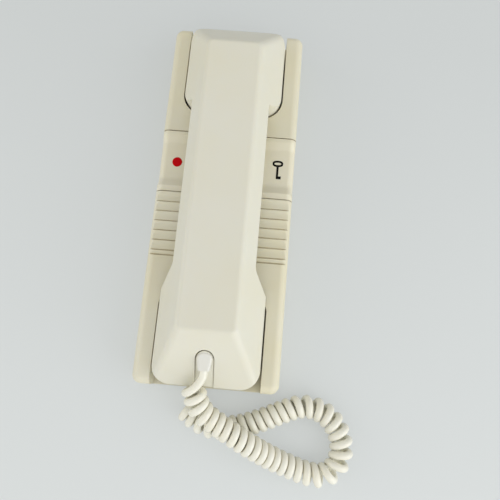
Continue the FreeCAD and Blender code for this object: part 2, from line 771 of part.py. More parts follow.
def make_handset_shell():
    """The upper half of the handset: a block with rounded corners, bevelled to a long flat face."""
    body = new_body("handset_shell")
    foot = rounded_plan(body, "shell_plan", d.parting_height, HANDSET_SIDE, -HANDSET_END, HANDSET_END,
                        d.handset_corner, d.handset_corner)
    pad(body, foot, "shell_block", SHELL_RISE)
    above = d.handset_height + d.overrun
    beside = HANDSET_SIDE + d.overrun
    side = new_sketch(body, "side_bevel_profile", "XZ_Plane")
    bevel = [(d.face_width / 2, d.handset_height), (HANDSET_SIDE, d.parting_height),
             (beside, d.parting_height), (beside, above), (d.face_width / 2, above)]
    outline(side, bevel)
    cut = pocket(body, side, "side_bevel", d.handset_length + d.overrun, both_ways=True)
    mirrored(body, [cut], "side_bevels", "YZ_Plane")
    for name, face_end, end, past in (("mouth", -FACE_MOUTH_END, -HANDSET_END, -HANDSET_END - d.overrun),
                                      ("ear", FACE_EAR_END, HANDSET_END, HANDSET_END + d.overrun)):
        drawn = new_sketch(body, "%s_bevel_profile" % name, "YZ_Plane")
        outline(drawn, [(face_end, d.handset_height), (end, d.parting_height), (past, d.parting_height),
                        (past, above), (face_end, above)])
        pocket(body, drawn, "%s_bevel" % name, d.handset_width + d.overrun, both_ways=True)

    def corner_crease(edge):
        return near(edge.BoundBox.ZMax, d.handset_height) and edge.BoundBox.ZLength > float(SHELL_RISE) / 2

    rounded(body, "corner_creases", d.crease_round, corner_crease)

    def face_edge(edge):
        return near(edge.BoundBox.ZMin, d.handset_height)

    rounded(body, "face_edges", d.face_edge_round, face_edge)
    hollow = body.newObject("PartDesign::SubtractiveLoft", "shell_hollow")
    hollow.Profile = hollow_outline(body, "hollow_foot", d.parting_height, d.handset_corner - d.handset_wall)
    hollow.Sections = [hollow_outline(body, "hollow_roof", d.handset_height - d.handset_wall, d.crease_round / 2)]
    hollow.Ruled = True
    doc.recompute()

    # the front wall of the ear head, trimmed to the bevels
    wall = d.handset_wall
    front = new_sketch(body, "ear_front_plan", "XY_Plane", d.parting_height)
    past = EAR_HEAD_START + d.ear_head_corner + wall
    bend = d.ear_head_corner - wall
    outline(front, [(-HANDSET_SIDE, past), (-HANDSET_SIDE, EAR_HEAD_START, d.ear_head_corner),
                    (HANDSET_SIDE, EAR_HEAD_START, d.ear_head_corner), (HANDSET_SIDE, past),
                    (HANDSET_SIDE - wall, past), (HANDSET_SIDE - wall, EAR_HEAD_START + wall, bend),
                    (-HANDSET_SIDE + wall, EAR_HEAD_START + wall, bend), (-HANDSET_SIDE + wall, past)])
    pad(body, front, "ear_front", d.grip_edge_height - d.parting_height)
    trim = new_sketch(body, "ear_front_trim", "XZ_Plane")
    outline(trim, bevel)
    cut = pocket(body, trim, "ear_front_bevel", d.handset_length + d.overrun, both_ways=True)
    mirrored(body, [cut], "ear_front_bevels", "YZ_Plane")

    # the grip is arched, and the ear head keeps its rounded corners beside it
    grip = new_sketch(body, "grip_profile", "YZ_Plane")
    low = d.parting_height - d.overrun
    outline(grip, [(-d.flare_end, low), (-d.flare_end, d.parting_height),
                   (-d.grip_mouth_end, d.grip_edge_height, d.grip_mouth_round),
                   (EAR_HEAD_START, d.grip_edge_height), (EAR_HEAD_START, low)])
    pocket(body, grip, "grip_arch", d.handset_width + d.overrun, both_ways=True)
    corners = new_sketch(body, "ear_corner_plan", "XY_Plane", low)
    inward = HANDSET_SIDE - d.ear_head_corner - wall
    for side in (-1, 1):
        outline(corners, [(beside * side, EAR_HEAD_START - d.overrun), (beside * side, past),
                          (HANDSET_SIDE * side, past), (HANDSET_SIDE * side, EAR_HEAD_START, d.ear_head_corner),
                          (inward * side, EAR_HEAD_START), (inward * side, EAR_HEAD_START - d.overrun)])
    pocket(body, corners, "ear_corners", d.grip_edge_height - low, backwards=True)
    throat = new_sketch(body, "grip_throat_profile", "YZ_Plane")
    outline(throat, [(EAR_HEAD_START - d.overrun, low), (EAR_HEAD_START - d.overrun, d.grip_edge_height),
                     (d.grip_ear_end, d.grip_edge_height, d.grip_ear_round),
                     (d.grip_ear_end + d.grip_ear_drop, d.parting_height),
                     (d.grip_ear_end + d.grip_ear_drop, low)])
    pocket(body, throat, "grip_throat", GRIP_SIDE * 2 - d.cover_grip_inset, both_ways=True)

    # a round-topped slot in the mouth bevel for the cord boot
    slot = new_sketch(body, "boot_slot_plan", "XY_Plane", d.parting_height - d.overrun)
    half = d.slot_width / 2
    outline(slot, [(-half, -HANDSET_END - d.overrun), (half, -HANDSET_END - d.overrun),
                   (half, -d.slot_top, half * SLOT_ROUND_SHARE), (-half, -d.slot_top, half * SLOT_ROUND_SHARE)])
    pocket(body, slot, "boot_slot", d.handset_height, backwards=True)

    posts = new_sketch(body, "shell_post_plan", "XY_Plane", d.grip_edge_height)
    for place in (-d.handset_post_mouth, d.handset_post_ear):
        ring(posts, 0, place, d.handset_post_radius)
    pad(body, posts, "shell_posts", d.handset_height - d.grip_edge_height - d.handset_wall / 2)
    pilots = new_sketch(body, "shell_pilot_plan", "XY_Plane", d.grip_edge_height - d.overrun)
    for place in (-d.handset_post_mouth, d.handset_post_ear):
        ring(pilots, 0, place, d.screw_shank_radius)
    pocket(body, pilots, "shell_pilots", d.overrun + d.screw_bite + d.screw_head_height, backwards=True)
    return body


def make_handset_cover():
    """The lower half of the handset: an ear cup and a mouth cup joined by the underside of the grip."""
    body = new_body("handset_cover")
    wall = d.cover_wall
    ear_start = EAR_HEAD_START
    mouth_start = MOUTH_HEAD_START
    pod_end = HANDSET_END - d.cover_step
    cups = (("ear", ear_start, pod_end, d.ear_head_corner, d.handset_corner),
            ("mouth", -pod_end, -mouth_start, d.handset_corner, d.mouth_head_corner))
    for end, low, high, low_corner, high_corner in cups:
        plan = rounded_plan(body, "%s_cup_plan" % end, POD_FLOOR, POD_SIDE, low, high, low_corner, high_corner)
        pad(body, plan, "%s_cup" % end, d.pod_height)
    # the grip's underside springs from one cup to the other
    grip = new_sketch(body, "cover_grip_profile", "YZ_Plane")
    upper = d.grip_edge_height
    lower = d.grip_edge_height - d.cover_grip_depth
    root = d.parting_height - d.cover_grip_depth
    over_deck = d.rail_height + d.deck_clearance
    mouth_turn = -d.grip_mouth_end + d.cover_grip_inset
    outline(grip, [(-mouth_start - wall, over_deck), (-mouth_start, over_deck), (mouth_turn, lower, d.grip_mouth_round),
                   (ear_start, lower, d.grip_ear_round / 2), (ear_start, root), (ear_start + wall, root),
                   (d.grip_ear_end + d.grip_ear_drop, d.parting_height),
                   (d.grip_ear_end, upper, d.grip_ear_round),
                   (-d.grip_mouth_end, upper, d.grip_mouth_round),
                   (-d.flare_end, d.parting_height), (-mouth_start - wall, d.parting_height)])
    pad(body, grip, "cover_grip", COVER_GRIP_SIDE * 2, both_ways=True)
    for end, low, high, low_corner, high_corner in cups:
        plan = rounded_plan(body, "%s_inside_plan" % end, POD_FLOOR + wall, POD_SIDE - wall,
                            low + wall, high - wall, low_corner - wall, high_corner - wall)
        pocket(body, plan, "%s_inside" % end, d.handset_height, backwards=True)
    hollow = new_sketch(body, "grip_hollow_profile", "YZ_Plane")
    outline(hollow, [(-mouth_start - wall * 2, over_deck + wall), (-mouth_start, over_deck + wall),
                     (mouth_turn, lower + wall, d.grip_mouth_round), (ear_start + wall, lower + wall),
                     (ear_start + wall, root), (ear_start + wall * 2, root),
                     (ear_start + wall * 2, upper + d.overrun), (-mouth_start - wall * 2, upper + d.overrun)])
    pocket(body, hollow, "grip_hollow", (COVER_GRIP_SIDE - wall) * 2, both_ways=True)

    # the sound passes through a row of slots in the floor of each cup
    for place, name in ((d.receiver_place, "ear"), (-d.microphone_place, "mouth")):
        grille = new_sketch(body, "%s_grille_plan" % name, "XY_Plane", POD_FLOOR)
        half = int(float(d.grille_count)) // 2
        for i in range(-half, half + 1):
            middle = place + d.grille_pitch * i
            reach = d.grille_length / (2 + abs(i) / 2)
            rectangle(grille, -reach, reach, middle - d.grille_width / 2, middle + d.grille_width / 2)
        pocket(body, grille, "%s_grille" % name, wall, backwards=True)

    # posts of the cover carry the shell's posts, and the screw heads sit in them
    seats = (-d.handset_post_mouth, d.handset_post_ear)
    posts = new_sketch(body, "cover_post_plan", "XY_Plane", lower)
    for place in seats:
        ring(posts, 0, place, HEAD_RECESS + d.post_wall)
    pad(body, posts, "cover_posts", d.cover_grip_depth)
    bores = new_sketch(body, "cover_bore_plan", "XY_Plane", lower - d.overrun)
    for place in seats:
        ring(bores, 0, place, d.screw_shank_radius + d.screw_hole_gap)
    pocket(body, bores, "cover_bores", d.cover_grip_depth + d.overrun, backwards=True)
    recesses = new_sketch(body, "cover_recess_plan", "XY_Plane", lower - d.overrun)
    for place in seats:
        ring(recesses, 0, place, HEAD_RECESS)
    pocket(body, recesses, "cover_recesses", d.screw_head_height + d.screw_hole_gap + d.overrun, backwards=True)

    # the notch in the end wall and the tongue behind the boot slot
    drop = d.slot_depth * math.sqrt(1 + float(BEVEL_SLOPE) ** 2)
    slot_floor = d.parting_height - drop
    notch = new_sketch(body, "cord_notch_plan", "XY_Plane", slot_floor)
    rectangle(notch, -d.slot_width / 2, d.slot_width / 2, -HANDSET_END - d.overrun,
              -HANDSET_END + d.cover_wall + d.overrun)
    pocket(body, notch, "cord_notch", d.parting_height, backwards=True)
    tongue = new_sketch(body, "slot_tongue_profile", "YZ_Plane")
    reach = HANDSET_END - d.tongue_reach
    outline(tongue, [(-pod_end, slot_floor - d.tongue_plate * 2), (-pod_end, slot_floor),
                     (-d.tongue_reach, slot_floor + reach * BEVEL_SLOPE),
                     (-d.tongue_reach, slot_floor + reach * BEVEL_SLOPE - d.tongue_plate),
                     (-pod_end + wall, slot_floor - d.tongue_plate * 2)])
    pad(body, tongue, "slot_tongue", d.slot_width + d.cover_wall, both_ways=True)
    return body


def place_at(made, x=0, y=0, z=0):
    """Moves a finished object, bound to the sheet."""
    for axis, value in (("x", x), ("y", y), ("z", z)):
        if isinstance(value, Size):
            made.setExpression("Placement.Base." + axis, value.formula)
    doc.recompute()
    return made


def rod(name, radius, length, x, y, z, along="z"):
    """A round bar whose foot is at the place and which runs along +X, +Y or +Z."""
    made = doc.addObject("Part::Cylinder", name)
    turns = {"x": Rotation(Vector(0, 1, 0), 90), "y": Rotation(Vector(-1, 0, 0), 90), "z": Rotation()}
    made.Placement = Placement(Vector(float(x), float(y), float(z)), turns[along])
    bind(made, "Radius", radius)
    bind(made, "Height", length)
    return place_at(made, x, y, z)


def together(name, pieces, kind="Part::MultiFuse"):
    """One node out of several pieces: fused, or kept as separate solids in a compound."""
    made = doc.addObject(kind, name)
    if kind == "Part::Compound":
        made.Links = pieces
    else:
        made.Shapes = pieces
        made.Refine = True
    made.Label = name
    doc.recompute()
    return made


def screw(name, x, y, head_foot, head_radius, head_height, shank_radius, length):
    """A pan head with its shank below it."""
    head = rod(name + "_head", head_radius, head_height, x, y, head_foot)
    shank = rod(name + "_shank", shank_radius, length, x, y, head_foot - length)
    return together(name, [head, shank])


def make_casing_screws():
    length = d.casing_wall + d.casing_post_gap + d.screw_bite
    made = [screw("casing_screw_%d" % i, 0, place, d.well_floor_height, d.screw_head_radius,
                  d.screw_head_height, d.screw_shank_radius, length)
            for i, place in enumerate((-d.casing_screw_place, d.casing_screw_place))]
    return together("casing_screws", made, "Part::Compound")


def make_board_screws():
    made = [screw("board_screw_%d" % i, x, y, BOARD_FACE, d.small_head_radius, d.small_head_height,
                  d.small_shank_radius, d.board_thickness + d.screw_bite)
            for i, (x, y) in enumerate(board_screw_places())]
    return together("board_screws", made, "Part::Compound")


def make_circuit_board():
    body = new_body("circuit_board")
    plan = new_sketch(body, "board_plan", "XY_Plane", d.board_height)
    rectangle(plan, -d.board_half_width, d.board_half_width, -d.board_bottom, d.board_top)
    pad(body, plan, "board", d.board_thickness)
    holes = new_sketch(body, "board_hole_plan", "XY_Plane", d.board_height)
    for x, y in board_screw_places():
        ring(holes, x, y, d.small_shank_radius + d.screw_hole_gap)
    pocket(body, holes, "board_holes", d.board_thickness + d.overrun, backwards=True)
    return body


def terminal_pitch():
    return d.terminal_length / float(d.terminal_count)


def make_terminal_block():
    """A row of screw terminals: a screw well above each wire hole."""
    body = new_body("terminal_block")
    low = -d.terminal_place - d.terminal_depth / 2
    plan = new_sketch(body, "terminal_plan", "XY_Plane", BOARD_FACE)
    rectangle(plan, -d.terminal_length / 2, d.terminal_length / 2, low, low + d.terminal_depth)
    pad(body, plan, "terminal_bar", d.terminal_height)
    wells = new_sketch(body, "terminal_well_plan", "XY_Plane", BOARD_FACE + d.terminal_height)
    doors = new_sketch(body, "terminal_door_profile", "XZ_Plane", -low)
    half = d.small_head_radius + d.screw_hole_gap
    for i in range(int(float(d.terminal_count))):
        x = terminal_pitch() * (i + 0.5) - d.terminal_length / 2
        rectangle(wells, x - half, x + half, -d.terminal_place - half, -d.terminal_place + half)
        rectangle(doors, x - d.terminal_wire_hole / 2, x + d.terminal_wire_hole / 2,
                  BOARD_FACE + d.terminal_wire_hole / 2, BOARD_FACE + d.terminal_wire_hole * 1.5)
    pocket(body, wells, "terminal_wells", d.small_head_height * 2)
    pocket(body, doors, "terminal_doors", d.terminal_depth / 2)
    return body


def make_terminal_screws():
    foot = BOARD_FACE + d.terminal_height - d.small_head_height * 2
    made = [rod("terminal_screw_%d" % i, d.small_head_radius, d.small_head_height,
                terminal_pitch() * (i + 0.5) - d.terminal_length / 2, -d.terminal_place, foot)
            for i in range(int(float(d.terminal_count)))]
    return together("terminal_screws", made, "Part::Compound")


def turned(name, profile, x, y, z):
    """A piece turned about its own upright axis and set down at a place."""
    body = new_body(name)
    drawn = new_sketch(body, name + "_profile", "XZ_Plane")
    outline(drawn, profile)
    revolved(body, drawn, name + "_turned", "Z_Axis")
    return place_at(body, x, y, z)


def make_buzzer():
    """A sounder can with a raised rim and a sound hole."""
    top = d.buzzer_height
    rim = d.buzzer_radius - d.casing_wall / 2
    floor = top - d.casing_wall / 2
    zero = Size(0, "0")
    return turned("buzzer", [(zero, zero), (d.buzzer_radius, zero), (d.buzzer_radius, top), (rim, top),
                             (rim, floor), (d.buzzer_sound_hole, floor),
                             (d.buzzer_sound_hole, floor - d.casing_wall), (zero, floor - d.casing_wall)],
                  zero, d.buzzer_place, BOARD_FACE)


def block(name, length, width, height, x, y, z):
    """A plain box whose low corner is at the place."""
    made = doc.addObject("Part::Box", name)
    bind(made, "Length", length)
    bind(made, "Width", width)
    bind(made, "Height", height)
    made.Placement = Placement(Vector(float(x), float(y), float(z)), Rotation())
    return place_at(made, x, y, z)


def make_capacitors():
    made = [rod("capacitor_%d" % i, d.capacitor_radius, d.capacitor_height, x, -d.capacitor_place, BOARD_FACE)
            for i, x in enumerate((-d.capacitor_x, d.capacitor_x))]
    return together("capacitors", made, "Part::Compound")


def make_resistors():
    """Each resistor stands off the board on its two bent wires."""
    made = []
    rise = d.resistor_radius + d.lead_width
    for i in (-1, 0, 1):
        y = d.resistor_pitch * i - d.resistor_place
        core = rod("resistor_core_%d" % i, d.resistor_radius, d.resistor_length, -d.resistor_length / 2, y,
                   BOARD_FACE + rise, "x")
        legs = [block("resistor_leg_%d_%d" % (i, k), d.lead_width, d.lead_width, rise + d.lead_width,
                      d.resistor_length / 2 * k - d.lead_width / 2, y - d.lead_width / 2, BOARD_FACE)
                for k in (-1, 1)]
        made.append(together("resistor_%d" % i, [core] + legs))
    return together("resistors", made, "Part::Compound")


def make_contact_pads():
    """The fixed contacts on the board that the key springs are pushed down to."""
    made = [block("contact_pad_%d" % i, d.contact_pad_width, d.contact_pad_width, d.contact_pad_height,
                  KEY_PUSH_X * side - d.contact_pad_width / 2, KEY_PUSH_Y - d.contact_pad_width / 2, BOARD_FACE)
            for i, side in enumerate((-1, 1))]
    return together("contact_pads", made, "Part::Compound")


def make_key_contact(name, side):
    """A leaf spring on a foot: its free end waits under the key's pusher, above the stud."""
    body = new_body(name)
    left = (KEY_PUSH_X - d.leaf_width / 2) if side > 0 else (-KEY_PUSH_X - d.leaf_width / 2)
    drawn = new_sketch(body, name + "_profile", "YZ_Plane", left)
    foot = BOARD_FACE + d.leaf_block_height
    free = d.key_pusher_foot - d.leaf_gap
    start = KEY_PUSH_Y - d.key_pusher_radius
    root = start + d.leaf_length - d.leaf_block_length
    outline(drawn, [(start, free), (start, free - d.leaf_thickness), (root, foot - d.leaf_thickness),
                    (root, BOARD_FACE), (start + d.leaf_length, BOARD_FACE), (start + d.leaf_length, foot),
                    (root, foot)])
    pad(body, drawn, name + "_strip", d.leaf_width)
    return body


def make_hook_contact():
    """A leaf spring under the board, pushed up by the tip of the hook lever while the handset is down."""
    body = new_body("hook_contact")
    drawn = new_sketch(body, "hook_contact_profile", "YZ_Plane")
    foot = d.board_height - d.leaf_block_height
    free = d.hook_tip_height + d.leaf_gap
    start = d.hook_tip_place + d.leaf_thickness * 4
    root = start - d.leaf_length + d.leaf_block_length
    outline(drawn, [(start, free), (start, free + d.leaf_thickness), (root, foot + d.leaf_thickness),
                    (root, d.board_height), (start - d.leaf_length, d.board_height),
                    (start - d.leaf_length, foot), (root, foot)])
    pad(body, drawn, "hook_contact_strip", d.leaf_width, both_ways=True)
    return body


def make_hook_lever():
    """The rocker that the ear cup holds down: a nub through the well floor, a hub and a contact tip."""
    body = new_body("hook_lever")
    drawn = new_sketch(body, "lever_profile", "YZ_Plane")
    low = d.hook_pivot_height
    high = low + d.hook_lever_thickness
    tip_half = d.hook_nub_radius / 2
    nub_left = d.hook_nub_place - d.hook_nub_radius
    nub_right = d.hook_nub_place + d.hook_nub_radius
    top = POD_FLOOR - d.hook_gap
    outline(drawn, [(d.hook_tip_place - tip_half, low),
                    (nub_right, low, d.hook_lever_thickness / 2),
                    (nub_right, top, d.hook_lever_thickness),
                    (nub_left, top, d.hook_lever_thickness), (nub_left, high),
                    (d.hook_tip_place + tip_half, high),
                    (d.hook_tip_place + tip_half, d.hook_tip_height, tip_half / 2),
                    (d.hook_tip_place - tip_half, d.hook_tip_height, tip_half / 2)])
    pad(body, drawn, "lever_bar", d.hook_lever_width, both_ways=True)
    hub = new_sketch(body, "lever_hub_profile", "YZ_Plane")
    ring(hub, d.hook_pivot_place, d.hook_pivot_height, d.hook_hub_radius)
    pad(body, hub, "lever_hub", d.hook_lever_width, both_ways=True)
    bore = new_sketch(body, "lever_bore_profile", "YZ_Plane")
    ring(bore, d.hook_pivot_place, d.hook_pivot_height, d.pin_radius + d.pin_clearance)
    pocket(body, bore, "lever_bore", d.hook_lever_width + d.overrun, both_ways=True)
    return body


def make_hook_pin():
    half = d.hook_lever_width / 2 + d.lug_gap + d.lug_thickness
    made = rod("hook_pivot_pin", d.pin_radius, half * 2, -half, d.hook_pivot_place, d.hook_pivot_height, "x")
    made.Label = "hook_pivot_pin"
    return made


def make_key_pins():
    start = d.key_inner_edge + d.tongue_inset - d.lug_gap - d.lug_thickness
    length = d.tongue_width + (d.lug_gap + d.lug_thickness) * 2
    right = rod("door_key_pin", d.pin_radius, length, start, PIVOT_Y, d.pivot_height, "x")
    left = rod("call_key_pin", d.pin_radius, length, -start - length, PIVOT_Y, d.pivot_height, "x")
    return together("key_pivot_pins", [left, right], "Part::Compound")


def make_capsule(name, place, radius, height):
    """A sound capsule: a flat can with a stepped rim and a domed back."""
    zero = Size(0, "0")
    step = d.gasket_width / 2
    foot = POD_FLOOR + d.cover_wall + d.gasket_thickness
    return turned(name, [(zero, zero), (radius, zero), (radius, height / 2), (radius - step, height / 2),
                         (radius - step * 2, height), (zero, height)], zero, place, foot)


def make_gasket(name, place, radius):
    zero = Size(0, "0")
    return turned(name, [(radius - d.gasket_width, zero), (radius, zero), (radius, d.gasket_thickness),
                         (radius - d.gasket_width, d.gasket_thickness)],
                  zero, place, POD_FLOOR + d.cover_wall)


def make_handset_screws():
    foot = d.grip_edge_height - d.cover_grip_depth + d.screw_head_height + d.screw_hole_gap
    length = d.grip_edge_height + d.screw_bite - foot
    made = []
    for i, place in enumerate((-d.handset_post_mouth, d.handset_post_ear)):
        head = rod("handset_screw_head_%d" % i, d.screw_head_radius, d.screw_head_height, 0, place,
                   foot - d.screw_head_height)
        shank = rod("handset_screw_shank_%d" % i, d.screw_shank_radius, length, 0, place, foot)
        made.append(together("handset_screw_%d" % i, [head, shank]))
    return together("handset_screws", made, "Part::Compound")


def make_cord_boot():
    """The soft sleeve at the mouth end: it tapers from its rounded root in the slot to the lead."""
    body = new_body("cord_boot")
    rise = d.boot_root_height - d.boot_end_height
    run = d.boot_end - d.boot_root
    length = Size(math.hypot(float(rise), float(run)),
                  "sqrt((%s) ^ 2 + (%s) ^ 2)" % (rise.formula, run.formula))
    side = new_sketch(body, "boot_side", "YZ_Plane")
    zero = Size(0, "0")
    outline(side, [(-d.boot_root_depth / 2, zero), (d.boot_root_depth / 2, zero),
                   (d.boot_end_depth / 2, length), (-d.boot_end_depth / 2, length)])
    pad(body, side, "boot_wedge", d.boot_root_width, both_ways=True)
    for name, way in (("boot_right", 1), ("boot_left", -1)):
        cut = new_sketch(body, name + "_taper", "XZ_Plane")
        outline(cut, [(d.boot_root_width / 2 * way, zero),
                      ((d.boot_root_width / 2 + d.overrun) * way, zero),
                      ((d.boot_root_width / 2 + d.overrun) * way, length),
                      (d.boot_end_width / 2 * way, length)])
        pocket(body, cut, name, d.boot_root_depth * 2, both_ways=True)

    def shoulder(edge):
        return edge.BoundBox.ZMax < float(d.pin_clearance) and edge.BoundBox.YLength > float(d.boot_root_depth) / 2

    rounded(body, "boot_shoulders", d.boot_shoulder, shoulder)

    def rim_edge(edge):
        box = edge.BoundBox
        return box.YLength < float(d.boot_root_depth) / 2 and box.ZMin < float(length) / 2

    rounded(body, "boot_edges", d.boot_edge_round, rim_edge)
    dip = math.degrees(math.atan2(float(rise), float(run)))
    body.Placement = Placement(Vector(0, -float(d.boot_root), float(d.boot_root_height)),
                               Rotation(Vector(1, 0, 0), 90 + dip))
    return place_at(body, zero, -d.boot_root, d.boot_root_height)


def make_base_cord_gland():
    """The grommet in the bottom end wall, turned about the lead's line."""
    body = new_body("base_cord_gland")
    drawn = new_sketch(body, "gland_profile", "XY_Plane")
    zero = Size(0, "0")
    wall_in = -BASE_END + d.casing_wall
    face = -BASE_END - d.gland_flange
    neck = d.gland_hole_radius - d.pin_clearance
    outline(drawn, [(zero, wall_in), (neck, wall_in), (neck, -BASE_END), (d.gland_flange_radius, -BASE_END),
                    (d.gland_flange_radius, face), (d.gland_nose_radius + d.gland_flange / 2, face),
                    (d.gland_nose_radius, face - d.gland_nose), (zero, face - d.gland_nose)])
    revolved(body, drawn, "gland_turned", "Y_Axis")
    return place_at(body, -d.gland_x, zero, d.gland_height)


# Middle line of the curly stretch, from the handset's lead to the base's lead, as it lies in the photograph.
CURL_ROUTE = [
    (-6.8, -114.4, 28.5), (-3.2, -119.2, 24.6), (3.0, -124.4, 21.8), (11.0, -129.2, 21.4),
    (19.8, -134.0, 20.4), (28.6, -138.8, 16.0), (38.0, -143.4, 10.4), (47.5, -147.0, 7.2),
    (57.0, -149.9, 6.7), (65.5, -152.0, 6.6), (73.0, -150.0, 6.6), (77.6, -143.0, 6.6),
    (78.0, -134.0, 6.6), (73.6, -125.0, 6.6), (66.5, -117.4, 6.6), (58.0, -115.2, 6.6),
    (49.0, -117.2, 6.6), (40.0, -121.6, 6.6), (31.0, -126.2, 6.6), (21.0, -129.2, 6.6),
    (11.0, -131.0, 6.6), (2.0, -131.4, 6.6), (-5.6, -130.0, 6.6), (-10.8, -127.0, 6.6),
]
START_PHASE = 0.35
END_PHASE = 0.6


def middle_line(points):
    """A smooth line of second degree that runs from the first point to the last."""
    poles = [Vector(*p) for p in points]
    spans = len(poles) - 2
    curve = Part.BSplineCurve()
    curve.buildFromPolesMultsKnots(poles, [3] + [1] * (spans - 1) + [3], [float(i) for i in range(spans + 1)],
                                   False, 2)
    return curve


def curl_places(curve, radius, pitch):
    """Places and directions of the wire on its helix every half turn; a bend opens the pitch."""
    steps = 2400
    first = curve.FirstParameter
    last = curve.LastParameter
    values = [first + (last - first) * i / steps for i in range(steps + 1)]
    centres = [curve.value(v) for v in values]
    phases = [0.0]
    for i in range(steps):
        bend = curve.curvature(values[i])
        stretch = (centres[i + 1] - centres[i]).Length
        local = pitch / (1 - min(radius * bend, 0.6))
        phases.append(phases[-1] + 2 * math.pi * stretch / local)
    turns = int((phases[-1] + START_PHASE - END_PHASE) / (2 * math.pi))
    scale = (turns * 2 * math.pi + END_PHASE - START_PHASE) / phases[-1]
    phases = [START_PHASE + p * scale for p in phases]

    def place(phase):
        low, high = 0, steps
        while high - low > 1:
            half = (low + high) // 2
            if phases[half] <= phase:
                low = half
            else:
                high = half
        part = (phase - phases[low]) / (phases[high] - phases[low])
        value = values[low] + (values[high] - values[low]) * part
        along = curve.tangent(value)[0]
        up = Vector(0, 0, 1)
        up = (up - along * up.dot(along)).normalize()
        left = up.cross(along)
        return curve.value(value) + up * (radius * math.cos(phase)) - left * (radius * math.sin(phase))

    found = []
    nudge = 0.002
    for phase in [phases[0]] + [math.pi * i for i in range(1, 2 * turns + 1)] + [phases[-1]]:
        before = max(phase - nudge, phases[0])
        after = min(phase + nudge, phases[-1])
        found.append((place(phase), (place(after) - place(before)).normalize()))
    return found, turns


def arc_edge(start, end, meet):
    """The arc from start to end whose end tangents meet at the point meet."""
    chord = end - start
    middle = (start + end) * 0.5
    towards = meet - middle
    rise = towards.Length
    if rise < 1e-6:
        return Part.LineSegment(start, end).toShape()
    angle = math.atan2(rise, chord.Length / 2)
    top = middle + towards.normalize() * (chord.Length / 2 * math.tan(angle / 2))
    return Part.Arc(start, top, end).toShape()


def biarc(start, start_way, end, end_way):
    """Two arcs that join two places and share a tangent where they meet."""
    gap = end - start
    way = start_way + end_way
    spread = 2 * (1 - start_way.dot(end_way))
    reach = (-gap.dot(way) + math.sqrt(gap.dot(way) ** 2 + spread * gap.dot(gap))) / spread
    near_start = start + start_way * reach
    near_end = end - end_way * reach
    joint = (near_start + near_end) * 0.5
    return [arc_edge(start, joint, near_start), arc_edge(joint, end, near_end)]


def faceted_tube(edges, start, way, diameter, sides=6):
    """A tube of a many-sided section, as wide across its corners as the wire, swept along the edges."""
    side = way.cross(Vector(0, 0, 1)).normalize()
    up = side.cross(way)
    corners = []
    for i in range(sides + 1):
        turn = 2 * math.pi * i / sides
        corners.append(start + side * (diameter / 2 * math.cos(turn)) + up * (diameter / 2 * math.sin(turn)))
    section = Part.makePolygon(corners)
    return Part.Wire(edges).makePipeShell([section], True, False)


def finish_feature(name, shape):
    made = doc.addObject("Part::Feature", name)
    made.Label = name
    made.Shape = shape
    made.Placement = Placement()
    return made


def make_cord():
    """The curly cord: a lead from the boot, the curls, and a lead back into the base."""
    wire = float(d.wire_diameter)
    radius = (float(d.curl_diameter) - wire) / 2
    curve = middle_line(CURL_ROUTE)
    places, turns = curl_places(curve, radius, float(d.curl_pitch))
    start, start_way = places[0]
    end, end_way = places[-1]
    lead_meets = start - start_way * wire
    tail_meets = end + end_way * wire
    edges = [Part.LineSegment(lead_meets, start).toShape()]
    for (one, one_way), (two, two_way) in zip(places, places[1:]):
        edges += biarc(one, one_way, two, two_way)
    edges.append(Part.LineSegment(end, tail_meets).toShape())
    curls = faceted_tube(edges, lead_meets, start_way, wire)
    length = sum(edge.Length for edge in edges)
    print("curls %d, wire length %.0f, middle line %.0f, volume %.0f against %.0f" % (
        turns, length, curve.length(), curls.Volume, length * 1.5 * math.sqrt(3) * wire * wire / 4))
    print_least_gap(edges, wire)

    boot_tip = Vector(0, -float(d.boot_end), float(d.boot_end_height))
    boot_way = Vector(0, -float(d.boot_end - d.boot_root), -float(d.boot_root_height - d.boot_end_height))
    lead = short_lead("handset lead", boot_tip, boot_way.normalize(), lead_meets, start_way, wire)
    nose = Vector(-float(d.gland_x), -float(BASE_END + d.gland_flange + d.gland_nose), float(d.gland_height))
    tail = short_lead("base lead", nose, Vector(0, -1, 0), tail_meets, end_way * -1, wire)
    return [finish_feature("cord_handset_lead", lead), finish_feature("cord_curls", curls),
            finish_feature("cord_base_tail", tail)]


def short_lead(label, start, start_way, end, end_way, wire):
    """A plain lead: straight at its start, then two arcs to the curls."""
    leave = start + start_way * (wire / 2)
    arcs = biarc(leave, start_way, end, end_way)
    edges = [Part.LineSegment(start, leave).toShape()] + arcs
    tube = faceted_tube(edges, start, start_way, wire)
    length = sum(edge.Length for edge in edges)
    print("%s: length %.1f, radii %s, volume %.1f against %.1f" % (
        label, length, ["%.1f" % arc.Curve.Radius for arc in arcs], tube.Volume,
        length * 1.5 * math.sqrt(3) * wire * wire / 4))
    return tube


def print_least_gap(edges, wire):
    """Measures how near the wire comes to itself, on points along its middle."""
    points = []
    travelled = 0.0
    for edge in edges:
        for k, point in enumerate(edge.discretize(7)[:-1]):
            points.append((travelled + edge.Length * k / 6, point))
        travelled += edge.Length
    cells = {}
    for i, (run, point) in enumerate(points):
        cells.setdefault((point.x // wire, point.y // wire, point.z // wire), []).append(i)
    least = (wire, None)
    steps = [(x, y, z) for x in (-1, 0, 1) for y in (-1, 0, 1) for z in (-1, 0, 1)]
    for run, point in points:
        for x, y, z in steps:
            cell = (point.x // wire + x, point.y // wire + y, point.z // wire + z)
            for j in cells.get(cell, []):
                if points[j][0] - run > 2.5 * wire:
                    gap = (points[j][1] - point).Length - wire
                    least = min(least, (gap, (point + points[j][1]) * 0.5), key=lambda pair: pair[0])
    print("least gap of the curls %.2f at %s, lowest point %.2f" % (
        least[0], least[1], min(point.z for run, point in points) - wire / 2))


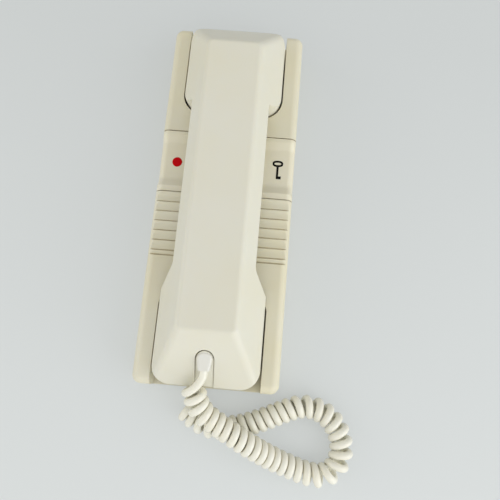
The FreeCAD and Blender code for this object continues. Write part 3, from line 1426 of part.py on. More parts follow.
def main():
    finished = [
        make_front_casing(), make_back_plate(), make_casing_screws(), make_circuit_board(),
        make_board_screws(), make_terminal_block(), make_terminal_screws(), make_buzzer(),
        make_capacitors(), make_resistors(), make_contact_pads(), make_key_contact("door_contact", 1),
        make_key_contact("call_contact", -1), make_hook_contact(), make_hook_lever(), make_hook_pin(),
        make_key_pins(), make_base_cord_gland(), make_key("door_key", 1), make_key("call_key", -1),
        make_handset_shell(), make_handset_cover(),
        make_capsule("receiver_capsule", d.receiver_place, d.receiver_radius, d.receiver_height),
        make_gasket("receiver_gasket", d.receiver_place, d.receiver_radius),
        make_capsule("microphone_capsule", -d.microphone_place, d.microphone_radius, d.microphone_height),
        make_gasket("microphone_gasket", -d.microphone_place, d.microphone_radius),
        make_handset_screws(), make_cord_boot(),
    ] + make_cord()
    doc.recompute()
    for item in doc.Objects:
        if "Invalid" in item.State or "Error" in item.State:
            raise ValueError("%s failed: %s" % (item.Name, item.State))
    os.makedirs("parts", exist_ok=True)
    for made in finished:
        shape = made.Shape
        if shape.isNull() or not shape.isValid():
            raise ValueError("%s has no sound shape" % made.Label)
        shape.exportStep("parts/%s.step" % made.Label)
        box = shape.BoundBox
        print("%-20s solids %d volume %8.1f  %6.2f %7.2f %6.2f to %6.2f %7.2f %6.2f" % (
            made.Label, len(shape.Solids), shape.Volume, box.XMin, box.YMin, box.ZMin, box.XMax, box.YMax,
            box.ZMax))


main()
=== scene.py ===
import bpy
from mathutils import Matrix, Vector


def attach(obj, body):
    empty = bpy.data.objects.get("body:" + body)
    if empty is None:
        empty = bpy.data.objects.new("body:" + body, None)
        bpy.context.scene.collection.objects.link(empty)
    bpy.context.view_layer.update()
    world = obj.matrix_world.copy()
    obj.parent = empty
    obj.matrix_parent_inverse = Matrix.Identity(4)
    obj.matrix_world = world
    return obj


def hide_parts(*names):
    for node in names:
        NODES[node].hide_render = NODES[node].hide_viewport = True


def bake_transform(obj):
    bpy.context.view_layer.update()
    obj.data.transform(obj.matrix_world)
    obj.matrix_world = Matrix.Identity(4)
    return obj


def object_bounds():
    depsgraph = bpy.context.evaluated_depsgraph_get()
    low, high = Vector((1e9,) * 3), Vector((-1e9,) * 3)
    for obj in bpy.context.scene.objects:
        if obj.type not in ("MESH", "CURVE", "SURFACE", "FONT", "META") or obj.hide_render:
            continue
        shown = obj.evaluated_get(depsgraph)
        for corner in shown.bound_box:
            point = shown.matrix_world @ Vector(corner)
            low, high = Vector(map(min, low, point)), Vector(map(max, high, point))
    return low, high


bl_info = {
    "name": "Desk Intercom",
    "version": (1, 0, 0),
    "blender": (4, 5, 0),
    "location": "3D Viewport > Sidebar > Intercom",
    "description": "Dresses the door intercom's CAD frame: curly cord, key prints, finishes and studio",
    "category": "Object",
}

import math

import bmesh
import bpy
from bpy.props import FloatProperty, FloatVectorProperty, PointerProperty
from mathutils import Vector
from mathutils.bvhtree import BVHTree

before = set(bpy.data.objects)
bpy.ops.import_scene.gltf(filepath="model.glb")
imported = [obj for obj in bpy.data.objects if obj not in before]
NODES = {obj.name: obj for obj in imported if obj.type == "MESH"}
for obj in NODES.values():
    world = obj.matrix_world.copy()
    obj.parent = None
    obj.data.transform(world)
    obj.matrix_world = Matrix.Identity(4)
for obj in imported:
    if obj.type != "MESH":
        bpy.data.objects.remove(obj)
CAD_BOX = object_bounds()
MM = 0.001
UP = Vector((0, 0, 1))

# Middle line of the curly cord, from the boot to the end of the curls under it, in metres.
CURL_ROUTE = [
    (-0.0052, -0.1105, 0.0292), (-0.0043, -0.1130, 0.0285), (-0.0032, -0.1166, 0.0269),
    (-0.0012, -0.1204, 0.0248), (0.0024, -0.1238, 0.0230), (0.0070, -0.1267, 0.0219),
    (0.0126, -0.1298, 0.0211), (0.0198, -0.1340, 0.0200), (0.0286, -0.1388, 0.0163),
    (0.0380, -0.1434, 0.0112), (0.0475, -0.1472, 0.0078), (0.0570, -0.1502, 0.0068),
    (0.0650, -0.1516, 0.0068), (0.0720, -0.1500, 0.0068), (0.0768, -0.1444, 0.0068),
    (0.0786, -0.1360, 0.0068), (0.0764, -0.1274, 0.0068), (0.0706, -0.1196, 0.0068),
    (0.0620, -0.1156, 0.0068), (0.0545, -0.1154, 0.0068), (0.0490, -0.1172, 0.0068),
    (0.0400, -0.1214, 0.0068), (0.0310, -0.1256, 0.0068), (0.0215, -0.1290, 0.0068),
    (0.0125, -0.1309, 0.0068), (0.0042, -0.1310, 0.0068), (-0.0026, -0.1286, 0.0068),
    (-0.0072, -0.1254, 0.0070), (-0.0104, -0.1224, 0.0084),
]
GLAND_NOSE = Vector((-0.0080, -0.1132, 0.0052))
BOOT_TIP = Vector((0.0, -0.0996, 0.0371))
# The plain wire from the boot to the first curl, and from the gland to the last one.
LEAD = [BOOT_TIP, (0.0, -0.1014, 0.0364), (-0.0003, -0.1034, 0.0357), (-0.0012, -0.1056, 0.0351),
        (-0.0026, -0.1077, 0.0347), (-0.0043, -0.1096, 0.0343), (-0.0062, -0.1112, 0.0337)]
TAIL = [GLAND_NOSE, (-0.0080, -0.1150, 0.0053), (-0.0078, -0.1164, 0.0066),
        (-0.0074, -0.1176, 0.0086), (-0.0072, -0.1190, 0.0106), (-0.0076, -0.1206, 0.0121)]

# The handset's sloping mouth end, as the CAD has it: its foot, its height there and its slope.
MOUTH_END = -0.109
MOUTH_FOOT_HEIGHT = 0.027
MOUTH_SLOPE = 24 / 28


def linear(code):
    """An sRGB hex colour as the linear RGBA that the shaders take."""
    values = [int(code[i:i + 2], 16) / 255 for i in (1, 3, 5)]
    return [v / 12.92 if v <= 0.04045 else ((v + 0.055) / 1.055) ** 2.4 for v in values] + [1.0]


def colour(name, description, code):
    """A colour that the panel shows, from its sRGB hex code."""
    return FloatVectorProperty(name=name, description=description, subtype="COLOR", size=4,
                               min=0.0, max=1.0, default=linear(code))


def size(name, description, metres):
    """A length that the panel shows, in metres."""
    return FloatProperty(name=name, description=description, unit="LENGTH", subtype="DISTANCE",
                         min=0.0, default=metres)


class IntercomSizes(bpy.types.PropertyGroup):
    """Sizes of the pieces that are made here."""
    wire: size("Cord wire", "Diameter of the cord's wire", 0.0043)
    curl: size("Curl", "Diameter across a curl", 0.0134)
    pitch: size("Curl pitch", "Distance from curl to curl on a straight stretch", 0.0045)
    dot: size("Call dot", "Diameter of the red dot on the call key", 0.0059)
    stroke: size("Print stroke", "Width of the lines of the key picture", 0.00118)
    ink: size("Ink", "Thickness of the printed ink", 0.00008)
    flange: size("Boot flange", "Width of the flange in the boot's slot", 0.0098)
    room: size("Room", "Half the side of the studio floor", 1.6)


class IntercomColours(bpy.types.PropertyGroup):
    """Colours that a user may change."""
    handset: colour("Handset", "Aged ivory of the handset", "#DEDCCD")
    casing: colour("Casing", "Aged ivory of the casing", "#DEDAC5")
    keys: colour("Keys", "Deeper ivory of the two keys", "#E2DDC7")
    plate: colour("Wall plate", "Grey of the plate behind the casing", "#A9A9A2")
    boot: colour("Boot", "Whiter vinyl of the cord's boot", "#DFDED5")
    cord: colour("Cord", "Ivory vinyl of the curly cord", "#ECEADC")
    dot: colour("Call dot", "Red of the call key's dot", "#C4000C")
    print: colour("Key picture", "Black of the door key's print", "#141412")
    floor: colour("Floor", "Pale studio floor", "#D5D9D8")


class IntercomScene(bpy.types.PropertyGroup):
    """Everything that the panel shows."""
    sizes: PointerProperty(name="Sizes", description="Sizes in metres", type=IntercomSizes)
    colours: PointerProperty(name="Colours", description="Surface colours", type=IntercomColours)


# Helpers

def sizes():
    """The sizes that the panel shows."""
    return bpy.context.scene.intercom.sizes


def colours():
    """The colours that the panel shows."""
    return bpy.context.scene.intercom.colours


def add(tree, kind, inputs=None, links=None, **settings):
    """Adds a node, sets its fields and sockets, and links sockets to other nodes' outputs."""
    node = tree.nodes.new(kind)
    for field, value in settings.items():
        setattr(node, field, value)
    for socket, value in (inputs or {}).items():
        node.inputs[socket].default_value = value
    for socket, source in (links or {}).items():
        tree.links.new(source, node.inputs[socket])
    return node


def new_material(name):
    """An empty node material and its tree, ready for a shader."""
    material = bpy.data.materials.new(name)
    material.use_nodes = True
    material.node_tree.nodes.clear()
    return material, material.node_tree


def finish_material(material, shader):
    """Ends the material in the given shader node."""
    add(material.node_tree, "ShaderNodeOutputMaterial", links={"Surface": shader.outputs[0]})
    return material


def shade(tone, share):
    """The linear colour tone made darker (share under 1) or lighter (over 1)."""
    return [min(1.0, c * share) for c in tone[:3]] + [1.0]


def mesh_piece(name, work, material):
    """A mesh object from a bmesh, linked to the scene, smooth, in the given material."""
    mesh = bpy.data.meshes.new(name)
    work.to_mesh(mesh)
    work.free()
    mesh.polygons.foreach_set("use_smooth", [True] * len(mesh.polygons))
    piece = bpy.data.objects.new(name, mesh)
    piece.data.materials.append(material)
    bpy.context.scene.collection.objects.link(piece)
    return piece


def give(material, *names):
    """Puts the material on every slot of the named CAD nodes."""
    for name in names:
        node = NODES[name]
        node.data.materials.clear()
        node.data.materials.append(material)


# Materials

def aged_abs(name, tone, rough, grain, yellowing, grime_and_shade):
    """ABS, injection moulded in a spark-eroded tool, and decades old.

    The eye sees a soft, even satin with a fine pebble grain, blotches where sun and hands have
    yellowed it, and thin brown grime with painted shade in the grooves and along the joints.
    """
    material, tree = new_material(name)
    place = add(tree, "ShaderNodeTexCoord")
    # yellowing comes in blotches about 45 mm across
    blotch = add(tree, "ShaderNodeTexNoise", {"Scale": 1 / (45 * MM), "Detail": 3.0, "Roughness": 0.55},
                 {"Vector": place.outputs["Object"]})
    blotch_range = add(tree, "ShaderNodeMapRange", {"From Min": 0.35, "From Max": 0.7,
                                                    "To Min": 0.0, "To Max": yellowing},
                       {"Value": blotch.outputs["Fac"]})
    yellow = [tone[0] * 0.98, tone[1] * 0.945, tone[2] * 0.82, 1.0]
    aged = add(tree, "ShaderNodeMix", {6: tone, 7: yellow}, {0: blotch_range.outputs["Result"]},
               data_type="RGBA")
    # grime and painted shade fill corners narrower than about 1.8 mm, in patches about 2.5 mm across
    corner = add(tree, "ShaderNodeAmbientOcclusion", {"Distance": 1.8 * MM}, samples=8)
    speck = add(tree, "ShaderNodeTexNoise", {"Scale": 1 / (2.5 * MM), "Detail": 4.0, "Roughness": 0.65},
                {"Vector": place.outputs["Object"]})
    grime_shade_mask = add(tree, "ShaderNodeMapRange", {"From Min": 0.1, "From Max": 0.65,
                                            "To Min": grime_and_shade, "To Max": 0.0},
               {"Value": corner.outputs["AO"]})
    patchy_grime_shade = add(tree, "ShaderNodeMath", links={0: grime_shade_mask.outputs["Result"], 1: speck.outputs["Fac"]},
                 operation="MULTIPLY")
    stronger_grime_shade = add(tree, "ShaderNodeMath", {1: 1.7}, {0: patchy_grime_shade.outputs["Value"]},
                   operation="MULTIPLY", use_clamp=True)
    # the brown mixed in here is grime and painted shade in the corners and gaps
    grime_and_shade_colour = add(tree, "ShaderNodeMix", {7: linear("#9C7A3C")},
                 {0: stronger_grime_shade.outputs["Value"], 6: aged.outputs[2]}, data_type="RGBA")
    # the tool's grain is about 0.25 mm, drawn about twice as coarse so that it shows
    pebble = add(tree, "ShaderNodeTexNoise", {"Scale": 1 / (grain * MM), "Detail": 2.0, "Roughness": 0.6},
                 {"Vector": place.outputs["Object"]})
    # the tool's sharp edges are broken by about 0.3 mm
    edge = add(tree, "ShaderNodeBevel", {"Radius": 0.3 * MM}, samples=6)
    bump = add(tree, "ShaderNodeBump", {"Strength": 0.22, "Distance": 0.03 * MM},
               {"Height": pebble.outputs["Fac"], "Normal": edge.outputs["Normal"]})
    # hands have polished it a little, in patches
    polish = add(tree, "ShaderNodeMapRange", {"From Min": 0.3, "From Max": 0.7,
                                              "To Min": rough - 0.05, "To Max": rough + 0.07},
                 {"Value": blotch.outputs["Fac"]})
    shader = add(tree, "ShaderNodeBsdfPrincipled",
                 {"IOR": 1.53, "Subsurface Weight": 0.12, "Subsurface Scale": 1.2 * MM,
                  "Subsurface Radius": (1.0, 0.8, 0.45)},
                 {"Base Color": grime_and_shade_colour.outputs[2], "Roughness": polish.outputs["Result"],
                  "Normal": bump.outputs["Normal"]})
    return finish_material(material, shader)


def soft_vinyl(name, tone, rough, soil):
    """Plasticised PVC, extruded or moulded. It looks smooth and slightly waxy, with soft broad
    highlights, a faint soiling where fingers touch it and brown dust with painted shade between the curls."""
    material, tree = new_material(name)
    place = add(tree, "ShaderNodeTexCoord")
    # soiling from fingers, in clouds about 14 mm across
    cloud = add(tree, "ShaderNodeTexNoise", {"Scale": 1 / (14 * MM), "Detail": 4.0, "Roughness": 0.6},
                {"Vector": place.outputs["Object"]})
    soiling = add(tree, "ShaderNodeMapRange", {"From Min": 0.4, "From Max": 0.75,
                                               "To Min": 0.0, "To Max": soil},
                  {"Value": cloud.outputs["Fac"]})
    worn = [tone[0] * 0.93, tone[1] * 0.88, tone[2] * 0.74, 1.0]
    touched = add(tree, "ShaderNodeMix", {6: tone, 7: worn}, {0: soiling.outputs["Result"]},
                  data_type="RGBA")
    # dust and painted shade gather where the curls come within 1.6 mm of each other
    corner = add(tree, "ShaderNodeAmbientOcclusion", {"Distance": 1.6 * MM}, samples=8)
    dust_and_shade = add(tree, "ShaderNodeMapRange", {"From Min": 0.05, "From Max": 0.5,
                                            "To Min": 0.62, "To Max": 0.0},
               {"Value": corner.outputs["AO"]})
    # the brown mixed in here is dust and painted shade between the curls
    dust_and_shade_colour = add(tree, "ShaderNodeMix", {7: linear("#A8965E")},
                 {0: dust_and_shade.outputs["Result"], 6: touched.outputs[2]}, data_type="RGBA")
    # extrusion leaves a very fine ripple, about 0.6 mm long
    ripple = add(tree, "ShaderNodeTexNoise", {"Scale": 1 / (0.6 * MM), "Detail": 1.0},
                 {"Vector": place.outputs["Object"]})
    bump = add(tree, "ShaderNodeBump", {"Strength": 0.12, "Distance": 0.02 * MM},
               {"Height": ripple.outputs["Fac"]})
    shader = add(tree, "ShaderNodeBsdfPrincipled",
                 {"IOR": 1.52, "Roughness": rough, "Subsurface Weight": 0.08,
                  "Subsurface Scale": 1.0 * MM, "Subsurface Radius": (1.0, 0.9, 0.7)},
                 {"Base Color": dust_and_shade_colour.outputs[2], "Normal": bump.outputs["Normal"]})
    return finish_material(material, shader)


def zinc_steel(name, tone, rough):
    """Steel with a clear zinc plating, turned or pressed. It shows a cool silver with a faint
    haze, fine turning lines and dull spots where the plating has aged."""
    material, tree = new_material(name)
    place = add(tree, "ShaderNodeTexCoord")
    # the haze clouds at about 1.2 mm
    haze = add(tree, "ShaderNodeTexNoise", {"Scale": 1 / (1.2 * MM), "Detail": 5.0, "Roughness": 0.65},
               {"Vector": place.outputs["Object"]})
    dull = add(tree, "ShaderNodeMapRange", {"From Min": 0.3, "From Max": 0.75,
                                            "To Min": rough, "To Max": rough + 0.25},
               {"Value": haze.outputs["Fac"]})
    stain = add(tree, "ShaderNodeMix", {6: tone, 7: shade(tone, 0.62)},
                {0: haze.outputs["Fac"]}, data_type="RGBA")
    # turning lines, drawn about 0.9 mm apart, coarser than the real ones so that they show
    lines = add(tree, "ShaderNodeTexWave", {"Scale": 1 / (3.0 * MM), "Distortion": 1.5, "Detail": 2.0},
                {"Vector": place.outputs["Object"]}, wave_type="RINGS", rings_direction="Z")
    bump = add(tree, "ShaderNodeBump", {"Strength": 0.15, "Distance": 0.01 * MM},
               {"Height": lines.outputs["Fac"]})
    shader = add(tree, "ShaderNodeBsdfPrincipled", {"Metallic": 1.0},
                 {"Base Color": stain.outputs[2], "Roughness": dull.outputs["Result"],
                  "Normal": bump.outputs["Normal"]})
    return finish_material(material, shader)


def paper_laminate(name, tone):
    """Phenolic paper laminate, pressed and sheared. It is a warm brown, slightly glossy, with
    long paper fibres under the resin."""
    material, tree = new_material(name)
    place = add(tree, "ShaderNodeTexCoord")
    stretch = add(tree, "ShaderNodeMapping", {"Scale": (1.0, 6.0, 1.0)},
                  {"Vector": place.outputs["Object"]})
    # fibres about 1 mm long
    fibre = add(tree, "ShaderNodeTexNoise", {"Scale": 1 / (1.0 * MM), "Detail": 4.0, "Roughness": 0.7},
                {"Vector": stretch.outputs["Vector"]})
    mix = add(tree, "ShaderNodeMix", {6: tone, 7: shade(tone, 0.55)},
              {0: fibre.outputs["Fac"]}, data_type="RGBA")
    shader = add(tree, "ShaderNodeBsdfPrincipled", {"IOR": 1.6, "Roughness": 0.35},
                 {"Base Color": mix.outputs[2]})
    return finish_material(material, shader)


def small_moulding(name, tone, rough):
    """A glass-filled nylon or epoxy part, moulded. It looks matt, with a dry speckle."""
    material, tree = new_material(name)
    place = add(tree, "ShaderNodeTexCoord")
    # the speckle is about 0.7 mm across
    speckle = add(tree, "ShaderNodeTexNoise", {"Scale": 1 / (0.7 * MM), "Detail": 5.0, "Roughness": 0.7},
                  {"Vector": place.outputs["Object"]})
    mix = add(tree, "ShaderNodeMix", {6: shade(tone, 0.85), 7: shade(tone, 1.15)},
              {0: speckle.outputs["Fac"]}, data_type="RGBA")
    bump = add(tree, "ShaderNodeBump", {"Strength": 0.2, "Distance": 0.02 * MM},
               {"Height": speckle.outputs["Fac"]})
    shader = add(tree, "ShaderNodeBsdfPrincipled", {"IOR": 1.5, "Roughness": rough},
                 {"Base Color": mix.outputs[2], "Normal": bump.outputs["Normal"]})
    return finish_material(material, shader)


def spring_bronze(name, tone):
    """Phosphor bronze strip, rolled and stamped. It is a pale copper-gold with rolling lines
    along it and darker tarnish in patches."""
    material, tree = new_material(name)
    place = add(tree, "ShaderNodeTexCoord")
    # rolling lines 2 mm long and a quarter of a millimetre wide, and tarnish 3 mm across
    stretch = add(tree, "ShaderNodeMapping", {"Scale": (8.0, 1.0, 8.0)},
                  {"Vector": place.outputs["Object"]})
    rolled = add(tree, "ShaderNodeTexNoise", {"Scale": 1 / (2.0 * MM), "Detail": 4.0, "Roughness": 0.6},
                 {"Vector": stretch.outputs["Vector"]})
    tarnish = add(tree, "ShaderNodeTexNoise", {"Scale": 1 / (3.0 * MM), "Detail": 3.0},
                  {"Vector": place.outputs["Object"]})
    mix = add(tree, "ShaderNodeMix", {6: tone, 7: shade(tone, 0.5)},
              {0: tarnish.outputs["Fac"]}, data_type="RGBA")
    dull = add(tree, "ShaderNodeMapRange", {"To Min": 0.22, "To Max": 0.5},
               {"Value": rolled.outputs["Fac"]})
    shader = add(tree, "ShaderNodeBsdfPrincipled", {"Metallic": 1.0},
                 {"Base Color": mix.outputs[2], "Roughness": dull.outputs["Result"]})
    return finish_material(material, shader)


def printed_ink(name, tone, rough):
    """Pad-printed ink. It lies flat, dense and dark, with a thin uneven coverage at its worn
    spots, about 0.8 mm across."""
    material, tree = new_material(name)
    place = add(tree, "ShaderNodeTexCoord")
    wear = add(tree, "ShaderNodeTexNoise", {"Scale": 1 / (0.8 * MM), "Detail": 3.0, "Roughness": 0.6},
               {"Vector": place.outputs["Object"]})
    amount = add(tree, "ShaderNodeMapRange", {"From Min": 0.45, "From Max": 0.8,
                                              "To Min": 0.0, "To Max": 0.25},
                 {"Value": wear.outputs["Fac"]})
    mix = add(tree, "ShaderNodeMix", {6: tone, 7: shade(tone, 0.8)},
              {0: amount.outputs["Result"]}, data_type="RGBA")
    shader = add(tree, "ShaderNodeBsdfPrincipled",
                 {"IOR": 1.5, "Roughness": rough, "Specular IOR Level": 0.08},
                 {"Base Color": mix.outputs[2]})
    return finish_material(material, shader)


# Camera and cord

class INTERCOM_OT_camera(bpy.types.Operator):
    """Put the camera where the photograph was taken, almost straight above the handset"""
    bl_idname = "intercom.camera"
    bl_label = "Camera"

    def execute(self, context):
        # the place, turn and lens follow from the perspective of the base and the handset
        data = bpy.data.cameras.new("photo_camera")
        data.sensor_width = 36.0
        data.lens = 37.44
        data.clip_start = 0.01
        data.clip_end = 20.0
        camera = bpy.data.objects.new("photo_camera", data)
        camera.location = (0.0252497, -0.0984087, 0.3150270)
        camera.rotation_euler = [math.radians(a) for a in (13.1107, 0.2578, 4.7989)]
        context.scene.collection.objects.link(camera)
        context.scene.camera = camera
        return {"FINISHED"}


def nurbs(name, places, resolution):
    """A curve of one smooth spline through the pull of the given points."""
    data = bpy.data.curves.new(name, "CURVE")
    data.dimensions = "3D"
    data.resolution_u = resolution
    spline = data.splines.new("NURBS")
    spline.points.add(len(places) - 1)
    for point, place in zip(spline.points, places):
        point.co = (*place, 1.0)
    spline.order_u = 3
    spline.use_endpoint_u = True
    return bpy.data.objects.new(name, data)


def line_of(curve):
    """The points of a curve's own line, read from the curve with no bevel."""
    mesh = bpy.data.meshes.new_from_object(curve)
    places = [vertex.co.copy() for vertex in mesh.vertices]
    bpy.data.meshes.remove(mesh)
    return places


# A curl faces the mean way of the middle line over one part in 26 of it to each side.
LEAN = 26


def helix(middle, radius, pitch, per_turn, start_phase, end_phase):
    """Points of a coil round the middle line. Where the line bends the coil opens on its outside,
    so that the inner sides of the curls keep touching. The curls face the way of a longer stretch
    of the line, because a soft coil leans over in a short bend."""
    steps = [(b - a).length for a, b in zip(middle, middle[1:])]
    ways = [(b - a).normalized() for a, b in zip(middle, middle[1:])]
    reach = len(ways) // LEAN
    facing = [sum(ways[max(0, i - reach):i + reach + 1], Vector()).normalized()
              for i in range(len(ways))]
    turned = [0.0]
    for i, step in enumerate(steps):
        after = facing[min(i + 1, len(facing) - 1)]
        bend = facing[i].angle(after, 0.0) / step
        turned.append(turned[-1] + step * facing[i].dot(ways[i]) * (1 - radius * bend) / pitch)
    turns = round(turned[-1] + (start_phase - end_phase) / math.tau)
    total = turns * math.tau + end_phase - start_phase
    scale = total / turned[-1]
    count = int(turns * per_turn)
    points = []
    at = 0
    # a spline cuts inside its points, so they stand off by as much
    radius /= math.cos(math.pi / per_turn)
    for i in range(count + 1):
        phase = total * i / count
        while at < len(turned) - 2 and turned[at + 1] * scale < phase:
            at += 1
        part = (phase / scale - turned[at]) / (turned[at + 1] - turned[at])
        centre = middle[at].lerp(middle[at + 1], part)
        along = facing[max(at - 1, 0)].lerp(facing[at], 0.5 + part / 2).normalized()
        up = (UP - along * UP.dot(along)).normalized()
        left = up.cross(along)
        angle = start_phase + phase
        points.append(centre + radius * (math.cos(angle) * up - math.sin(angle) * left))
    return points, turns


class INTERCOM_OT_curly_cord(bpy.types.Operator):
    """Wind the curly cord from the handset's boot to the gland in the base"""
    bl_idname = "intercom.curly_cord"
    bl_label = "Curly cord"

    def execute(self, context):
        wire = sizes().wire
        radius = (sizes().curl - wire) / 2
        middle = line_of(nurbs("curl_middle", CURL_ROUTE, 16))
        # the first and last curl start where the lead and the tail come in
        curls, turns = helix(middle, radius, sizes().pitch, 14, 0.8, 0.3)
        route = [*TAIL, *reversed(curls), *reversed(LEAD)]
        curve = nurbs("wire_line", route, 2)
        path = line_of(curve)
        curve.data.bevel_depth = wire / 2
        curve.data.bevel_resolution = 4
        mesh = bpy.data.meshes.new_from_object(curve)
        mesh.name = "curly_cord"
        mesh.materials.clear()
        cord = bpy.data.objects.new("curly_cord", mesh)
        context.scene.collection.objects.link(cord)
        mesh.polygons.foreach_set("use_smooth", [True] * len(mesh.polygons))
        mesh.materials.append(soft_vinyl("PVC cord jacket, extruded", list(colours().cord), 0.27, 0.3))
        length = sum((b - a).length for a, b in zip(path, path[1:]))
        print("cord: %d curls, wire %.3f m" % (turns, length))
        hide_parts("cord_handset_lead", "cord_curls", "cord_base_tail")
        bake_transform(cord)
        return {"FINISHED"}


# Prints on the keys

def laid_on(node, flat, lift):
    """Drops points given as (x, y) straight down onto a CAD node, and lifts them off it."""
    work = bmesh.new()
    work.from_mesh(NODES[node].data)
    tree = BVHTree.FromBMesh(work)
    work.free()
    found = []
    for x, y in flat:
        hit = tree.ray_cast(Vector((x, y, CAD_BOX[1][2])), -UP)[0]
        if hit is None:
            raise RuntimeError("a print misses " + node)
        found.append(hit + lift * UP)
    return found


# Ink reaches this far into the plastic, so that no gap shows under it.
INK_ROOT = -0.02 * MM


def print_strip(work, node, rows, thick, closed=False):
    """A raised band of ink from rows of (x, y) points, all rows equally long."""
    count = len(rows[0])
    low = [[work.verts.new(p) for p in laid_on(node, row, INK_ROOT)] for row in rows]
    high = [[work.verts.new(p) for p in laid_on(node, row, thick)] for row in rows]
    last = len(rows) if closed else len(rows) - 1
    for i in range(last):
        j = (i + 1) % len(rows)
        for k in range(count - 1):
            work.faces.new((high[i][k], high[i][k + 1], high[j][k + 1], high[j][k]))
            work.faces.new((low[j][k], low[j][k + 1], low[i][k + 1], low[i][k]))
        work.faces.new((high[i][0], high[j][0], low[j][0], low[i][0]))
        work.faces.new((high[j][-1], high[i][-1], low[i][-1], low[j][-1]))
    if not closed:
        for k in range(count - 1):
            work.faces.new((high[0][k + 1], high[0][k], low[0][k], low[0][k + 1]))
            work.faces.new((high[-1][k], high[-1][k + 1], low[-1][k + 1], low[-1][k]))


class INTERCOM_OT_slot_plate(bpy.types.Operator):
    """Close the slot round the boot with the boot's own flat flange"""
    bl_idname = "intercom.slot_plate"
    bl_label = "Boot flange"

    def execute(self, context):
        half = sizes().flange / 2
        foot, top = -0.1085, -0.0903
        middle = (foot + top) / 2
        thick = 0.8 * MM
        broken_edge = 0.2 * MM
        # it lies in the sloping mouth end, 0.6 mm under the handset's own skin
        sink = 0.6 * MM * math.hypot(1, MOUTH_SLOPE)
        outline = [(-half, foot), (half, foot), (half, top - half)]
        for i in range(1, 20):
            turn = math.pi * i / 20
            outline.append((half * math.cos(turn), top - half + half * math.sin(turn)))
        outline.append((-half, top - half))
        work = bmesh.new()
        rims = []
        for inset, drop in ((broken_edge, 0.0), (0.0, broken_edge), (0.0, thick)):
            share = 1 - inset / half
            level = MOUTH_FOOT_HEIGHT - MOUTH_END * MOUTH_SLOPE - sink - drop
            rims.append([work.verts.new((x * share, middle + (y - middle) * share,
                                         level + y * MOUTH_SLOPE)) for x, y in outline])
        work.faces.new(rims[0])
        for upper, lower in zip(rims, rims[1:]):
            for i in range(len(upper)):
                j = (i + 1) % len(upper)
                work.faces.new((upper[j], upper[i], lower[i], lower[j]))
        work.faces.new(list(reversed(rims[-1])))
        bmesh.ops.recalc_face_normals(work, faces=work.faces)
        # the flange takes the handset's ivory made 4% lighter, painted light where the slot lies in shade
        vinyl = soft_vinyl("PVC flange, moulded", shade(list(colours().handset), 1.04), 0.4, 0.3)
        plate = mesh_piece("boot_flange", work, vinyl)
        plate.data.polygons.foreach_set("use_smooth", [False] * len(plate.data.polygons))
        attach(plate, "handset")
        return {"FINISHED"}


class INTERCOM_OT_call_dot(bpy.types.Operator):
    """Print the red dot on the call key"""
    bl_idname = "intercom.call_dot"
    bl_label = "Call dot"

    def execute(self, context):
        centre = Vector((-0.0300, 0.0201))
        radius = sizes().dot / 2
        ink = sizes().ink
        hub = 0.4 * MM
        around = 48
        rows = []
        for i in range(around):
            turn = math.tau * i / around
            way = Vector((math.cos(turn), math.sin(turn)))
            rows.append([tuple(centre + way * radius * share)
                         for share in (hub / radius, 0.3, 0.6, 0.85, 1.0)])
        work = bmesh.new()
        print_strip(work, "call_key", rows, ink, closed=True)
        # the innermost ring closes to a point, above and below
        ring = [v for v in work.verts if (v.co.xy - centre).length < hub * 1.25]
        mean = sum(v.co.z for v in ring) / len(ring)
        for verts, lift in (([v for v in ring if v.co.z > mean], ink),
                            ([v for v in ring if v.co.z <= mean], INK_ROOT)):
            bmesh.ops.pointmerge(work, verts=verts, merge_co=laid_on("call_key", [tuple(centre)], lift)[0])
        bmesh.ops.recalc_face_normals(work, faces=work.faces)
        dot = mesh_piece("call_dot", work,
                         printed_ink("Red pad-printing ink", list(colours().dot), 0.32))
        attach(dot, "call_key")
        return {"FINISHED"}


class INTERCOM_OT_key_picture(bpy.types.Operator):
    """Print the small key picture on the door key"""
    bl_idname = "intercom.key_picture"
    bl_label = "Key picture"

    def execute(self, context):
        stroke = sizes().stroke
        ink = sizes().ink
        work = bmesh.new()
        # the bow is an oval ring, a little squarer than an ellipse
        centre = Vector((0.0305, 0.0237))
        across, along = 6.4 * MM / 2, 3.9 * MM / 2
        squareness = 0.8
        rows = []
        for i in range(72):
            turn = math.tau * i / 72
            way = Vector((math.copysign(abs(math.cos(turn)) ** squareness, math.cos(turn)),
                          math.copysign(abs(math.sin(turn)) ** squareness, math.sin(turn))))
            rows.append([(centre.x + way.x * (across - stroke * k / 3),
                          centre.y + way.y * (along - stroke * k / 3)) for k in range(4)])
        print_strip(work, "door_key", rows, ink, closed=True)
        # the shaft runs down from the bow, and each stroke lies a little over the last
        top = centre.y - along + stroke / 2
        foot = 0.0142
        half = stroke * 0.54
        shaft = [[(centre.x + half * (k - 1), top + (foot - top) * i / 14) for k in range(3)]
                 for i in range(15)]
        print_strip(work, "door_key", shaft, ink * 1.12)
        # one bit stands out at the shaft's foot
        bit_length, bit_width = 2.3 * MM, 1.7 * MM
        bit = [[(centre.x + bit_length * i / 4, foot + bit_width * k / 3) for k in range(4)]
               for i in range(5)]
        print_strip(work, "door_key", bit, ink * 1.24)
        bmesh.ops.recalc_face_normals(work, faces=work.faces)
        picture = mesh_piece("key_picture", work,
                             printed_ink("Black pad-printing ink", list(colours().print), 0.4))
        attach(picture, "door_key")
        return {"FINISHED"}


# Finishes of the CAD nodes

